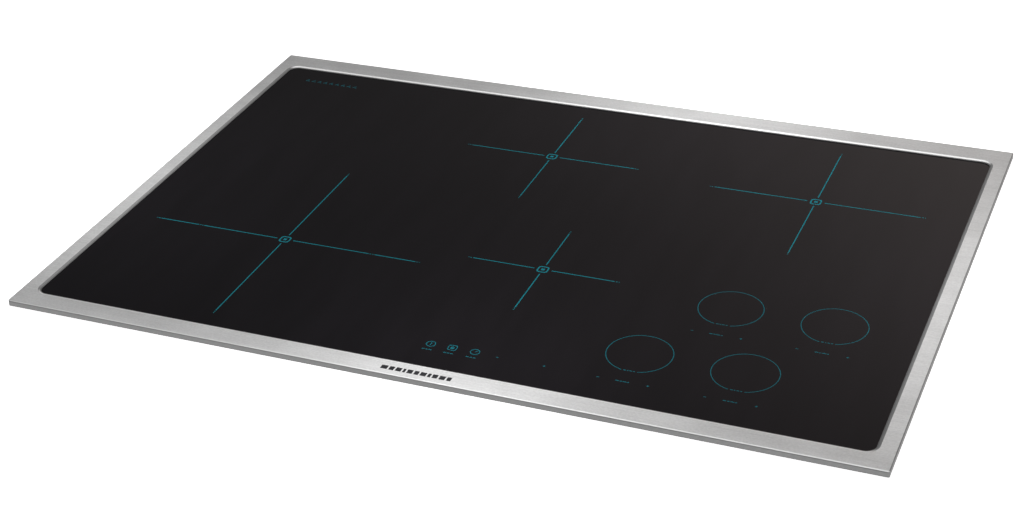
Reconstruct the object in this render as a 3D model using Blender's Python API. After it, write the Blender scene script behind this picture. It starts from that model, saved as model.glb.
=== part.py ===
"""Drop-in electric induction cooktop, built from its separate parts.

Metres, +Z up. The origin is the middle of the burner box's underside. X runs along the
cooktop's width, +Y points away from the cook, and the steel trim's top is at TRIM_TOP.
"""

import math

import bmesh
import bpy
from mathutils import Matrix, Vector

GAP = 0.0003  # clearance between neighbouring parts
CORNER_STEPS = 6  # facets in each rounded corner of the trim, glass and seals

# Steel trim
TRIM_WIDTH = 0.781
TRIM_DEPTH = 0.546
TRIM_SIDE = 0.0165  # border at the left and at the right
TRIM_FRONT = 0.0215
TRIM_BACK = 0.0268
TRIM_TOP = 0.110
TRIM_SHEET = 0.0012
SKIRT_HEIGHT = 0.0055  # turned-down outer edge
SKIRT_BEND = 0.0008
LIP_WIDTH = 0.0030  # inner edge that slopes down to the glass
LIP_DROP = 0.0010
LIP_TIP = 0.0005
OUTER_CORNER = 0.0014
INNER_CORNER = 0.009

# Glass and seals
GLASS_THICK = 0.004
GLASS_TUCK = 0.0035  # how far the glass reaches under the trim
GLASS_CHAMFER = 0.0004
GLASS_TOP = TRIM_TOP - LIP_DROP - LIP_TIP - GAP
GLASS_UNDER = GLASS_TOP - GLASS_THICK
SEAL_WIDTH = 0.0015
GASKET_WIDTH = 0.008
GASKET_INSET = TRIM_SHEET + 0.0005
WORKTOP_TOP = 0.104  # the gasket's underside rests here

# Burner box
BOX_WIDTH = 0.725
BOX_DEPTH = 0.488
BOX_SHEET = 0.0012
BOX_CORNER = 0.006
BOX_TOP = GLASS_UNDER - GAP
BOX_FLANGE = 0.005
SLOT_WIDTH = 0.004
SLOT_PITCH = 0.010
SLOT_LOW = 0.034
SLOT_HIGH = 0.068
SLOT_GROUPS = (  # wall, where the group is centred along it, how many slots
    ("front", -0.220, 14),
    ("front", 0.220, 14),
    ("back", -0.200, 14),
    ("left", -0.135, 11),
    ("right", -0.135, 11),
    ("left", 0.135, 11),
    ("right", 0.135, 11),
)

# Coil tray
TRAY_TOP = 0.0715
TRAY_SHEET = 0.0015
TRAY_WIDTH = 0.714
TRAY_DEPTH = 0.480
TRAY_LEG = 0.030
TRAY_HOLE = 0.012

# Cooking zones: name, centre X, centre Y, outer radius of the winding
ZONES = (
    ("left", -0.207, -0.096, 0.130),
    ("centre_rear", -0.0315, 0.134, 0.084),
    ("centre_front", 0.038, -0.073, 0.067),
    ("right_rear", 0.235, 0.122, 0.097),
)
COIL_STEPS = 32
COIL_INNER = 0.024
MICA_THICK = 0.0008
WINDING_THICK = 0.0048
FERRITE_THICK = 0.0052
BASE_THICK = 0.002
HUB_LOW = 0.066
HUB_BORE = 0.006
RIM_HEIGHT = 0.0048
SENSOR_RADIUS = 0.009
SPRING_RADIUS = 0.0155
SPRING_WIRE = 0.0008
SPRING_TURNS = 3.0
RING_SPLIT = (0.088, 0.096)  # end of the left zone's inner winding, start of its outer one

# Fans
FANS = (("left", -0.275, 0.165), ("right", -0.035, 0.165))
FAN_SIDE = 0.092
FAN_THICK = 0.025
FAN_BORE = 0.0425
FAN_HUB = 0.016
FAN_BLADES = 7
BLADE_REACH = 0.0405

# Electronics
FLOOR_TOP = BOX_SHEET
BOARD_LOW = 0.006
BOARD_THICK = 0.0016
POWER_BOARDS = (("left", -0.225), ("right", 0.015))  # name and centre X
POWER_BOARD_SIZE = (0.220, 0.310)
POWER_BOARD_Y = -0.070
HEATSINK_SIZE = (0.090, 0.250, 0.034)
HEATSINK_FINS = 9
FILTER_CENTRE = (0.255, 0.050)
FILTER_SIZE = (0.160, 0.190)
CONTROL_LOW = 0.0965

# Mains entry
ENTRY_X = 0.290
ENTRY_Z = 0.036
COVER_SIZE = (0.100, 0.056)
GLAND_RADIUS = 0.011
GLAND_BORE = 0.008

# Hold-down clamps
CLAMP_X = 0.378
PAD_TOP = 0.084 - GAP
PAD_RADIUS = 0.009
PAD_THICK = 0.0047
CLAMP_THREAD = 0.003
CLAMP_HEAD = (0.026, 0.034)  # foot and top of the thumb head
CLAMP_HEAD_RADIUS = 0.0095
ARM_LOW = 0.046
ARM_SHEET = 0.002
BRACKET_LOW = 0.014
BRACKET_WIDTH = 0.040
SCREW_SHANK = 0.0018
SCREW_HEAD = 0.0038

STEEL = ("trim_steel", (0.62, 0.62, 0.61), 0.32, 1.0)
GLASS = ("black_glass", (0.012, 0.011, 0.012), 0.06, 0.0)
SILICONE = ("black_silicone", (0.02, 0.02, 0.02), 0.6, 0.0)
FOAM = ("gasket_foam", (0.05, 0.05, 0.05), 0.9, 0.0)
ZINC = ("zinc_steel", (0.55, 0.56, 0.57), 0.42, 1.0)
ALUMINIUM = ("aluminium", (0.75, 0.76, 0.77), 0.38, 1.0)
COPPER = ("litz_copper", (0.62, 0.30, 0.14), 0.45, 1.0)
FERRITE = ("ferrite", (0.09, 0.09, 0.10), 0.55, 0.0)
MICA = ("mica", (0.66, 0.60, 0.47), 0.5, 0.0)
CERAMIC = ("ceramic", (0.86, 0.85, 0.82), 0.5, 0.0)
SPRING = ("spring_steel", (0.50, 0.50, 0.50), 0.3, 1.0)
BLACK_PLASTIC = ("black_plastic", (0.03, 0.03, 0.032), 0.5, 0.0)
GREY_PLASTIC = ("grey_plastic", (0.45, 0.45, 0.44), 0.55, 0.0)
BOARD = ("board_green", (0.04, 0.20, 0.10), 0.5, 0.0)


def clear_scene():
    for obj in list(bpy.data.objects):
        bpy.data.objects.remove(obj, do_unlink=True)


def material(finish):
    """The Principled material of a finish, made the first time that it is asked for."""
    name, colour, roughness, metallic = finish
    found = bpy.data.materials.get(name)
    if found:
        return found
    made = bpy.data.materials.new(name)
    made.use_nodes = True
    shader = made.node_tree.nodes["Principled BSDF"]
    shader.inputs["Base Color"].default_value = (*colour, 1.0)
    shader.inputs["Roughness"].default_value = roughness
    shader.inputs["Metallic"].default_value = metallic
    made.diffuse_color = (*colour, 1.0)
    return made


def add_part(name, bm, finish, origin=(0.0, 0.0, 0.0), smooth=False):
    """Turn a bmesh drawn in world places into an object whose own origin is at origin."""
    bmesh.ops.translate(bm, verts=bm.verts, vec=-Vector(origin))
    bmesh.ops.recalc_face_normals(bm, faces=bm.faces)
    mesh = bpy.data.meshes.new(name)
    bm.to_mesh(mesh)
    bm.free()
    mesh.materials.append(material(finish))
    if smooth:
        mesh.shade_smooth()
        mesh.set_sharp_from_angle(angle=math.radians(35))
    obj = bpy.data.objects.new(name, mesh)
    obj.location = origin
    bpy.context.scene.collection.objects.link(obj)
    return obj


def add_boolean(target, bm, operation, name):
    """Cut or join a helper shape, drawn in world places, into the target."""
    helper = add_part(name, bm, ZINC)
    helper.hide_render = True
    helper.display_type = "WIRE"
    cut = target.modifiers.new(name, "BOOLEAN")
    cut.operation = operation
    cut.solver = "EXACT"
    cut.object = helper


def add_box(bm, low, high):
    low, high = Vector(low), Vector(high)
    place = Matrix.Translation((low + high) / 2) @ Matrix.Diagonal((*(high - low), 1.0))
    return bmesh.ops.create_cube(bm, size=1.0, matrix=place)["verts"]


def add_cylinder(bm, centre, radius, low, high, steps=16, axis="Z"):
    """A closed cylinder between low and high on its axis; centre gives its other two places."""
    turn = {"X": Matrix.Rotation(math.pi / 2, 4, "Y"), "Y": Matrix.Rotation(-math.pi / 2, 4, "X")}
    middle = Vector(centre)
    middle["XYZ".index(axis)] = (low + high) / 2
    bmesh.ops.create_cone(
        bm,
        cap_ends=True,
        segments=steps,
        radius1=radius,
        radius2=radius,
        depth=high - low,
        matrix=Matrix.Translation(middle) @ turn.get(axis, Matrix.Identity(4)),
    )


def rounded_outline(x_low, x_high, y_low, y_high, radius, z, steps=CORNER_STEPS):
    """Points of a rectangle with rounded corners, counter-clockwise, at height z."""
    corners = (
        (x_high - radius, y_low + radius, -90),
        (x_high - radius, y_high - radius, 0),
        (x_low + radius, y_high - radius, 90),
        (x_low + radius, y_low + radius, 180),
    )
    points = []
    for x, y, start in corners:
        for step in range(steps + 1):
            angle = math.radians(start + 90 * step / steps)
            points.append((x + radius * math.cos(angle), y + radius * math.sin(angle), z))
    return points


def inset_outline(inset, radius, z):
    """The trim's outer outline, moved in by inset on every side."""
    half_x, half_y = TRIM_WIDTH / 2 - inset, TRIM_DEPTH / 2 - inset
    return rounded_outline(-half_x, half_x, -half_y, half_y, radius, z)


def opening_outline(grow, z):
    """The trim's inner opening, grown by grow on every side."""
    return rounded_outline(
        -TRIM_WIDTH / 2 + TRIM_SIDE - grow,
        TRIM_WIDTH / 2 - TRIM_SIDE + grow,
        -TRIM_DEPTH / 2 + TRIM_FRONT - grow,
        TRIM_DEPTH / 2 - TRIM_BACK + grow,
        INNER_CORNER + grow,
        z,
    )


def box_outline(grow, z):
    """The burner box's outer outline, grown by grow on every side."""
    half_x, half_y = BOX_WIDTH / 2 + grow, BOX_DEPTH / 2 + grow
    return rounded_outline(-half_x, half_x, -half_y, half_y, BOX_CORNER + grow, z, steps=4)


def loft(outlines, closed):
    """Skin a stack of outlines; the stack closes on itself, or is capped at both ends."""
    bm = bmesh.new()
    rows = [[bm.verts.new(point) for point in outline] for outline in outlines]
    pairs = list(zip(rows, rows[1:]))
    if closed:
        pairs.append((rows[-1], rows[0]))
    else:
        bm.faces.new(rows[0])
        bm.faces.new(rows[-1])
    for low, high in pairs:
        for i in range(len(low)):
            j = (i + 1) % len(low)
            bm.faces.new((low[i], low[j], high[j], high[i]))
    return bm


def prism(outline, axis, low, high):
    """Extrude a flat outline, given as pairs of the other two coordinates, along an axis."""
    place = {
        "X": lambda a, b: (low, a, b),
        "Y": lambda a, b: (a, low, b),
        "Z": lambda a, b: (a, b, low),
    }[axis]
    bm = bmesh.new()
    face = bm.faces.new([bm.verts.new(place(a, b)) for a, b in outline])
    raised = bmesh.ops.extrude_face_region(bm, geom=[face], use_keep_orig=True)["geom"]
    shift = Vector((0, 0, 0))
    shift["XYZ".index(axis)] = high - low
    bmesh.ops.translate(bm, vec=shift, verts=[g for g in raised if isinstance(g, bmesh.types.BMVert)])
    return bm


def turned(profile, steps, centre=(0.0, 0.0, 0.0), axis="Z"):
    """Spin a closed profile of (radius, height) points about an axis through centre."""
    bm = bmesh.new()
    verts = [bm.verts.new((radius, 0.0, height)) for radius, height in profile]
    edges = [bm.edges.new(pair) for pair in zip(verts, verts[1:] + verts[:1])]
    bmesh.ops.spin(
        bm,
        geom=verts + edges,
        cent=(0, 0, 0),
        axis=(0, 0, 1),
        angle=2 * math.pi,
        steps=steps,
        use_merge=True,
    )
    on_axis = [v for v in bm.verts if math.hypot(v.co.x, v.co.y) < 1e-6]
    bmesh.ops.remove_doubles(bm, verts=on_axis, dist=1e-6)
    loose = [e for e in bm.edges if not e.link_faces]
    bmesh.ops.delete(bm, geom=loose, context="EDGES")
    if axis == "Y":
        bmesh.ops.rotate(bm, verts=bm.verts, matrix=Matrix.Rotation(-math.pi / 2, 3, "X"))
    if axis == "X":
        bmesh.ops.rotate(bm, verts=bm.verts, matrix=Matrix.Rotation(math.pi / 2, 3, "Y"))
    bmesh.ops.translate(bm, verts=bm.verts, vec=centre)
    return bm


def make_trim():
    """Folded steel border: outer skirt, flat top, and an inner lip that slopes to the glass."""
    under = TRIM_TOP - TRIM_SHEET
    skirt_foot = TRIM_TOP - SKIRT_HEIGHT
    bend = SKIRT_BEND
    outlines = (
        inset_outline(0.0, OUTER_CORNER, skirt_foot),
        inset_outline(0.0, OUTER_CORNER, TRIM_TOP - bend),
        inset_outline(bend * 0.3, OUTER_CORNER, TRIM_TOP - bend * 0.3),
        inset_outline(bend, OUTER_CORNER, TRIM_TOP),
        opening_outline(LIP_WIDTH, TRIM_TOP),
        opening_outline(0.0, TRIM_TOP - LIP_DROP),
        opening_outline(0.0, TRIM_TOP - LIP_DROP - LIP_TIP),
        opening_outline(LIP_WIDTH + TRIM_SHEET / 2, under),
        inset_outline(TRIM_SHEET, OUTER_CORNER / 2, under),
        inset_outline(TRIM_SHEET, OUTER_CORNER / 2, skirt_foot),
    )
    add_part("trim_frame", loft(outlines, closed=True), STEEL)


def make_glass():
    edge = GLASS_TUCK - GLASS_CHAMFER
    outlines = (
        opening_outline(edge, GLASS_UNDER),
        opening_outline(GLASS_TUCK, GLASS_UNDER + GLASS_CHAMFER),
        opening_outline(GLASS_TUCK, GLASS_TOP - GLASS_CHAMFER),
        opening_outline(edge, GLASS_TOP),
    )
    add_part("glass_top", loft(outlines, closed=False), GLASS)


def make_seals():
    """The silicone bead round the glass's edge, and the foam strip that meets the worktop."""
    inside, outside = GLASS_TUCK + GAP, GLASS_TUCK + GAP + SEAL_WIDTH
    low, high = TRIM_TOP - SKIRT_HEIGHT, TRIM_TOP - TRIM_SHEET - GAP
    bead = (
        opening_outline(inside, low),
        opening_outline(outside, low),
        opening_outline(outside, high),
        opening_outline(inside, high),
    )
    add_part("glass_seal", loft(bead, closed=True), SILICONE)
    inner = GASKET_INSET + GASKET_WIDTH
    strip = (
        inset_outline(GASKET_INSET, OUTER_CORNER / 2, WORKTOP_TOP),
        inset_outline(GASKET_INSET, OUTER_CORNER / 2, high),
        inset_outline(inner, OUTER_CORNER, high),
        inset_outline(inner, OUTER_CORNER, WORKTOP_TOP),
    )
    add_part("worktop_gasket", loft(strip, closed=True), FOAM)


def wall_slot(bm, wall, along):
    """One upright air slot through a wall of the burner box."""
    low, high = along - SLOT_WIDTH / 2, along + SLOT_WIDTH / 2
    through = 0.004
    if wall in ("front", "back"):
        place = BOX_DEPTH / 2 if wall == "back" else -BOX_DEPTH / 2
        add_box(bm, (low, place - through, SLOT_LOW), (high, place + through, SLOT_HIGH))
    else:
        place = BOX_WIDTH / 2 if wall == "right" else -BOX_WIDTH / 2
        add_box(bm, (place - through, low, SLOT_LOW), (place + through, high, SLOT_HIGH))


def floor_grille(bm, x, y):
    """Parallel air slots in the floor, as long as the fan's round bore allows."""
    reach, width, pitch = FAN_BORE - 0.003, 0.006, 0.012
    for step in range(-3, 4):
        offset = step * pitch
        half = math.sqrt(reach**2 - offset**2)
        low = (x + offset - width / 2, y - half, -BOX_SHEET)
        high = (x + offset + width / 2, y + half, 2 * BOX_SHEET)
        add_box(bm, low, high)


def bracket_screw_places():
    """Side, Y and Z of the two screws that hold each clamp bracket to the box."""
    return [(side, y, 0.030) for side in (-1, 1) for y in (-0.012, 0.012)]


def cover_screw_places():
    return [(ENTRY_X + side * (COVER_SIZE[0] / 2 - 0.006), ENTRY_Z) for side in (-1, 1)]


def make_burner_box():
    """Open steel tray with a flange under the glass, air slots and the mains opening."""
    flange_low = BOX_TOP - BOX_SHEET
    outlines = (
        box_outline(0.0, 0.0),
        box_outline(0.0, flange_low),
        box_outline(BOX_FLANGE, flange_low),
        box_outline(BOX_FLANGE, BOX_TOP),
        box_outline(-BOX_SHEET, BOX_TOP),
        box_outline(-BOX_SHEET, FLOOR_TOP),
    )
    box = add_part("burner_box", loft(outlines, closed=False), ZINC)
    cuts = bmesh.new()
    for wall, middle, count in SLOT_GROUPS:
        for step in range(count):
            wall_slot(cuts, wall, middle + (step - (count - 1) / 2) * SLOT_PITCH)
    for _, x, y in FANS:
        floor_grille(cuts, x, y)
    half_x, half_z = COVER_SIZE[0] / 2 - 0.012, COVER_SIZE[1] / 2 - 0.008
    add_box(
        cuts,
        (ENTRY_X - half_x, BOX_DEPTH / 2 - 0.004, ENTRY_Z - half_z),
        (ENTRY_X + half_x, BOX_DEPTH / 2 + 0.004, ENTRY_Z + half_z),
    )
    hole = SCREW_SHANK + GAP
    for side, y, z in bracket_screw_places():
        place = side * BOX_WIDTH / 2
        add_cylinder(cuts, (0, y, z), hole, place - 0.004, place + 0.004, 8, "X")
    for x, z in cover_screw_places():
        add_cylinder(cuts, (x, 0, z), hole, BOX_DEPTH / 2 - 0.004, BOX_DEPTH / 2 + 0.004, 8, "Y")
    add_boolean(box, cuts, "DIFFERENCE", "box_openings")


def make_coil_tray():
    """Aluminium shelf on four short legs, with a guide hole under each coil."""
    half_x, half_y = TRAY_WIDTH / 2, TRAY_DEPTH / 2
    low = TRAY_TOP - TRAY_SHEET
    shelf = bmesh.new()
    add_box(shelf, (-half_x, -half_y, low), (half_x, half_y, TRAY_TOP))
    tray = add_part("coil_tray", shelf, ALUMINIUM)
    legs = bmesh.new()
    for side_x in (-1, 1):
        for side_y in (-1, 1):
            ends_x = sorted((side_x * half_x, side_x * (half_x - TRAY_SHEET)))
            ends_y = sorted((side_y * (half_y - 0.004), side_y * (half_y - 0.004 - TRAY_LEG)))
            add_box(
                legs,
                (ends_x[0], ends_y[0], FLOOR_TOP + GAP),
                (ends_x[1], ends_y[1], TRAY_TOP - TRAY_SHEET / 2),
            )
    add_boolean(tray, legs, "UNION", "tray_legs")
    holes = bmesh.new()
    for _, x, y, _ in ZONES:
        add_cylinder(holes, (x, y, 0), TRAY_HOLE, low - 0.005, TRAY_TOP + 0.005, 20)
    add_boolean(tray, holes, "DIFFERENCE", "tray_holes")


def make_ferrite_star(name, x, y, reach, low):
    """Flat ferrite bars like a star's rays, joined by a thin hub ring."""
    rays, half_width, hub = 8, 0.006, 0.020
    outline = []
    for ray in range(rays):
        angle = 2 * math.pi * ray / rays
        along = Vector((math.cos(angle), math.sin(angle)))
        across = Vector((-along.y, along.x))
        root = math.sqrt(hub**2 - half_width**2)
        for distance, side in ((root, -1), (reach, -1), (reach, 1), (root, 1)):
            outline.append(along * distance + across * half_width * side + Vector((x, y)))
    star = add_part(name, prism(outline, "Z", low, low + FERRITE_THICK), FERRITE, (x, y, low))
    hole = bmesh.new()
    add_cylinder(hole, (x, y, 0), SENSOR_RADIUS + 0.004, low - 0.005, low + 0.012, 16)
    add_boolean(star, hole, "DIFFERENCE", name + "_hole")


def make_ring(name, x, y, inner, outer, low, high, finish):
    profile = ((inner, low), (outer, low), (outer, high), (inner, high))
    add_part(name, turned(profile, COIL_STEPS, (x, y, 0)), finish, (x, y, low), smooth=True)


def make_spring(name, x, y, low, high):
    """Round-wire compression spring as one open helix."""
    curve = bpy.data.curves.new(name, "CURVE")
    curve.dimensions = "3D"
    curve.bevel_depth = SPRING_WIRE
    curve.bevel_resolution = 1
    curve.use_fill_caps = True
    per_turn = 10
    count = int(SPRING_TURNS * per_turn) + 1
    line = curve.splines.new("POLY")
    line.points.add(count - 1)
    start, rise = low + 2 * SPRING_WIRE, high - low - 4 * SPRING_WIRE
    for i, point in enumerate(line.points):
        angle = 2 * math.pi * i / per_turn
        height = start + rise * i / (count - 1) - low
        point.co = (SPRING_RADIUS * math.cos(angle), SPRING_RADIUS * math.sin(angle), height, 1)
    curve.materials.append(material(SPRING))
    spring = bpy.data.objects.new(name, curve)
    spring.location = (x, y, low)
    bpy.context.scene.collection.objects.link(spring)


def make_coil(zone, x, y, outer):
    """One cooking zone: base with guide hub, ferrites, winding, mica sheet, sensor, spring."""
    mica_low = GLASS_UNDER - GAP - MICA_THICK
    winding_low = mica_low - GAP - WINDING_THICK
    ferrite_low = winding_low - GAP - FERRITE_THICK
    base_top = ferrite_low - GAP
    base_low = base_top - BASE_THICK
    rim = outer + 0.004
    base = (
        (HUB_BORE, HUB_LOW),
        (TRAY_HOLE - GAP, HUB_LOW),
        (TRAY_HOLE - GAP, base_low),
        (rim, base_low),
        (rim, base_top + RIM_HEIGHT),
        (rim - 0.0015, base_top + RIM_HEIGHT),
        (rim - 0.0015, base_top),
        (HUB_BORE, base_top),
    )
    shape = turned(base, COIL_STEPS, (x, y, 0))
    add_part(zone + "_coil_base", shape, ALUMINIUM, (x, y, base_low), smooth=True)
    make_ferrite_star(zone + "_coil_ferrites", x, y, outer - 0.004, ferrite_low)
    winding_top = winding_low + WINDING_THICK
    if zone == "left":
        inner_end, outer_start = RING_SPLIT
        make_ring(zone + "_coil_winding", x, y, COIL_INNER, inner_end, winding_low, winding_top, COPPER)
        make_ring(zone + "_outer_winding", x, y, outer_start, outer, winding_low, winding_top, COPPER)
    else:
        make_ring(zone + "_coil_winding", x, y, COIL_INNER, outer, winding_low, winding_top, COPPER)
    mica_top = mica_low + MICA_THICK
    make_ring(zone + "_mica_sheet", x, y, SENSOR_RADIUS + 0.0015, outer + 0.002, mica_low, mica_top, MICA)
    puck = (
        (0.0, base_top + GAP),
        (SENSOR_RADIUS - 0.002, base_top + GAP),
        (SENSOR_RADIUS, ferrite_low + 0.003),
        (SENSOR_RADIUS, mica_top),
        (0.0, mica_top),
    )
    add_part(zone + "_sensor", turned(puck, 14, (x, y, 0)), CERAMIC, (x, y, mica_top), smooth=True)
    make_spring(zone + "_coil_spring", x, y, TRAY_TOP + GAP, base_low - GAP)


def make_fan(name, x, y):
    """Square fan housing with a motor boss on three struts, and its impeller."""
    low = FLOOR_TOP + GAP
    high = low + FAN_THICK
    half = FAN_SIDE / 2
    frame = bmesh.new()
    add_box(frame, (x - half, y - half, low), (x + half, y + half, high))
    housing = add_part(name + "_fan_housing", frame, BLACK_PLASTIC, (x, y, low))
    bore = bmesh.new()
    add_cylinder(bore, (x, y, 0), FAN_BORE, low - 0.005, high + 0.005, 32)
    add_boolean(housing, bore, "DIFFERENCE", name + "_fan_bore")
    boss_top = low + 0.003
    boss = bmesh.new()
    add_cylinder(boss, (x, y, 0), FAN_HUB - 0.002, low, boss_top, 18)
    motor = add_part(name + "_fan_boss", boss, BLACK_PLASTIC)
    motor.hide_render = True
    motor.display_type = "WIRE"
    struts = bmesh.new()
    for step in range(3):
        verts = add_box(struts, (0.006, -0.002, low + 0.0002), (FAN_BORE + 0.001, 0.002, boss_top - 0.0004))
        turn = Matrix.Rotation(math.radians(30 + 120 * step), 3, "Z")
        bmesh.ops.rotate(struts, verts=verts, matrix=turn)
        bmesh.ops.translate(struts, verts=verts, vec=(x, y, 0))
    add_boolean(motor, struts, "UNION", name + "_fan_struts")
    join = housing.modifiers.new("boss", "BOOLEAN")
    join.operation, join.solver, join.object = "UNION", "EXACT", motor
    hub_low, hub_high = boss_top + GAP, high - 0.001
    hub = bmesh.new()
    add_cylinder(hub, (x, y, 0), FAN_HUB, hub_low, hub_high, 21)
    impeller = add_part(name + "_fan_impeller", hub, GREY_PLASTIC, (x, y, hub_low), smooth=True)
    blades = bmesh.new()
    middle, depth, pitch = (hub_low + hub_high) / 2, (hub_high - hub_low) * 0.62, math.radians(38)
    for step in range(FAN_BLADES):
        verts = add_box(blades, (FAN_HUB - 0.003, -depth / 2, -0.0008), (BLADE_REACH, depth / 2, 0.0008))
        tilt = Matrix.Rotation(pitch, 3, "X")
        turn = Matrix.Rotation(2 * math.pi * step / FAN_BLADES, 3, "Z")
        bmesh.ops.rotate(blades, verts=verts, matrix=turn @ tilt)
        bmesh.ops.translate(blades, verts=verts, vec=(x, y, middle))
    add_boolean(impeller, blades, "UNION", name + "_fan_blades")


def board_with_parts(name, centre, size, blocks, cans):
    """A circuit board on four feet, with its taller components joined on."""
    (x, y), (width, depth) = centre, size
    top = BOARD_LOW + BOARD_THICK
    plate = bmesh.new()
    add_box(plate, (x - width / 2, y - depth / 2, BOARD_LOW), (x + width / 2, y + depth / 2, top))
    board = add_part(name, plate, BOARD, (x, y, BOARD_LOW))
    extras = bmesh.new()
    for side_x in (-1, 1):
        for side_y in (-1, 1):
            place = (x + side_x * (width / 2 - 0.008), y + side_y * (depth / 2 - 0.008), 0)
            add_cylinder(extras, place, 0.004, FLOOR_TOP + GAP, BOARD_LOW + 0.0008, 8)
    for block_x, block_y, block_width, block_depth, height in blocks:
        low = (x + block_x - block_width / 2, y + block_y - block_depth / 2, BOARD_LOW + 0.0008)
        high = (x + block_x + block_width / 2, y + block_y + block_depth / 2, top + height)
        add_box(extras, low, high)
    for can_x, can_y, radius, height in cans:
        add_cylinder(extras, (x + can_x, y + can_y, 0), radius, BOARD_LOW + 0.0008, top + height, 14)
    add_boolean(board, extras, "UNION", name + "_components")


def make_heatsink(name, x, y):
    """Extruded aluminium comb, its fins along the air flow."""
    width, depth, height = HEATSINK_SIZE
    low = BOARD_LOW + BOARD_THICK + GAP
    base, fin = 0.004, 0.002
    pitch = (width - fin) / (HEATSINK_FINS - 1)
    outline = [(x - width / 2, low), (x + width / 2, low)]
    for step in reversed(range(HEATSINK_FINS)):
        left = x - width / 2 + step * pitch
        outline += [(left + fin, low + height), (left, low + height)]
        if step:
            outline += [(left, low + base), (left - pitch + fin, low + base)]
    add_part(name, prism(outline, "Y", y - depth / 2, y + depth / 2), ALUMINIUM, (x, y, low))


def make_electronics():
    blocks = ((0.080, -0.110, 0.040, 0.050, 0.026), (0.080, 0.100, 0.034, 0.040, 0.020))
    cans = ((0.080, 0.000, 0.013, 0.032), (0.080, -0.045, 0.013, 0.032))
    for name, x in POWER_BOARDS:
        centre = (x, POWER_BOARD_Y)
        board_with_parts(name + "_power_board", centre, POWER_BOARD_SIZE, blocks, cans)
        make_heatsink(name + "_heatsink", x - 0.045, POWER_BOARD_Y)
    relays = ((-0.050, 0.060, 0.030, 0.050, 0.018),)
    board_with_parts("filter_board", FILTER_CENTRE, FILTER_SIZE, relays, ())
    x, y = FILTER_CENTRE
    low = BOARD_LOW + BOARD_THICK + GAP
    core = [
        (0.019 + 0.009 * math.cos(2 * math.pi * i / 8), low + 0.009 + 0.009 * math.sin(2 * math.pi * i / 8))
        for i in range(8)
    ]
    choke = turned(core, 20, (x + 0.035, y - 0.050, 0))
    add_part("filter_choke", choke, COPPER, (x + 0.035, y - 0.050, low), smooth=True)
    cap = bmesh.new()
    add_box(cap, (x + 0.012, y + 0.030, low), (x + 0.058, y + 0.054, low + 0.030))
    bmesh.ops.bevel(cap, geom=cap.edges, offset=0.002, segments=1, affect="EDGES")
    add_part("filter_capacitor", cap, GREY_PLASTIC, (x + 0.035, y + 0.042, low))


def make_controls():
    """The touch controls' L-shaped carrier on posts, and the board that lies in it."""
    wide = (-0.030, -0.238, 0.345, -0.151)
    deep_left, deep_top = 0.122, -0.048
    wall, floor, rim = 0.0015, 0.002, 0.0060

    def outline(inset, z):
        left, front, right, step = wide
        return [
            (left + inset, front + inset, z),
            (right - inset, front + inset, z),
            (right - inset, deep_top - inset, z),
            (deep_left + inset, deep_top - inset, z),
            (deep_left + inset, step - inset, z),
            (left + inset, step - inset, z),
        ]

    top = CONTROL_LOW + rim
    shell = (
        outline(0, CONTROL_LOW),
        outline(0, top),
        outline(wall, top),
        outline(wall, CONTROL_LOW + floor),
    )
    carrier = add_part("control_carrier", loft(shell, closed=False), BLACK_PLASTIC)
    posts = bmesh.new()
    for x, y in ((-0.022, -0.200), (0.160, -0.230), (0.337, -0.230), (0.337, -0.056), (0.130, -0.056)):
        add_cylinder(posts, (x, y, 0), 0.004, TRAY_TOP + GAP, CONTROL_LOW + floor / 2, 10)
    add_boolean(carrier, posts, "UNION", "control_posts")
    board_low = CONTROL_LOW + floor + GAP
    clear = wall + 2 * GAP
    board = loft((outline(clear, board_low), outline(clear, board_low + BOARD_THICK)), closed=False)
    add_part("control_board", board, BOARD)


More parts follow.
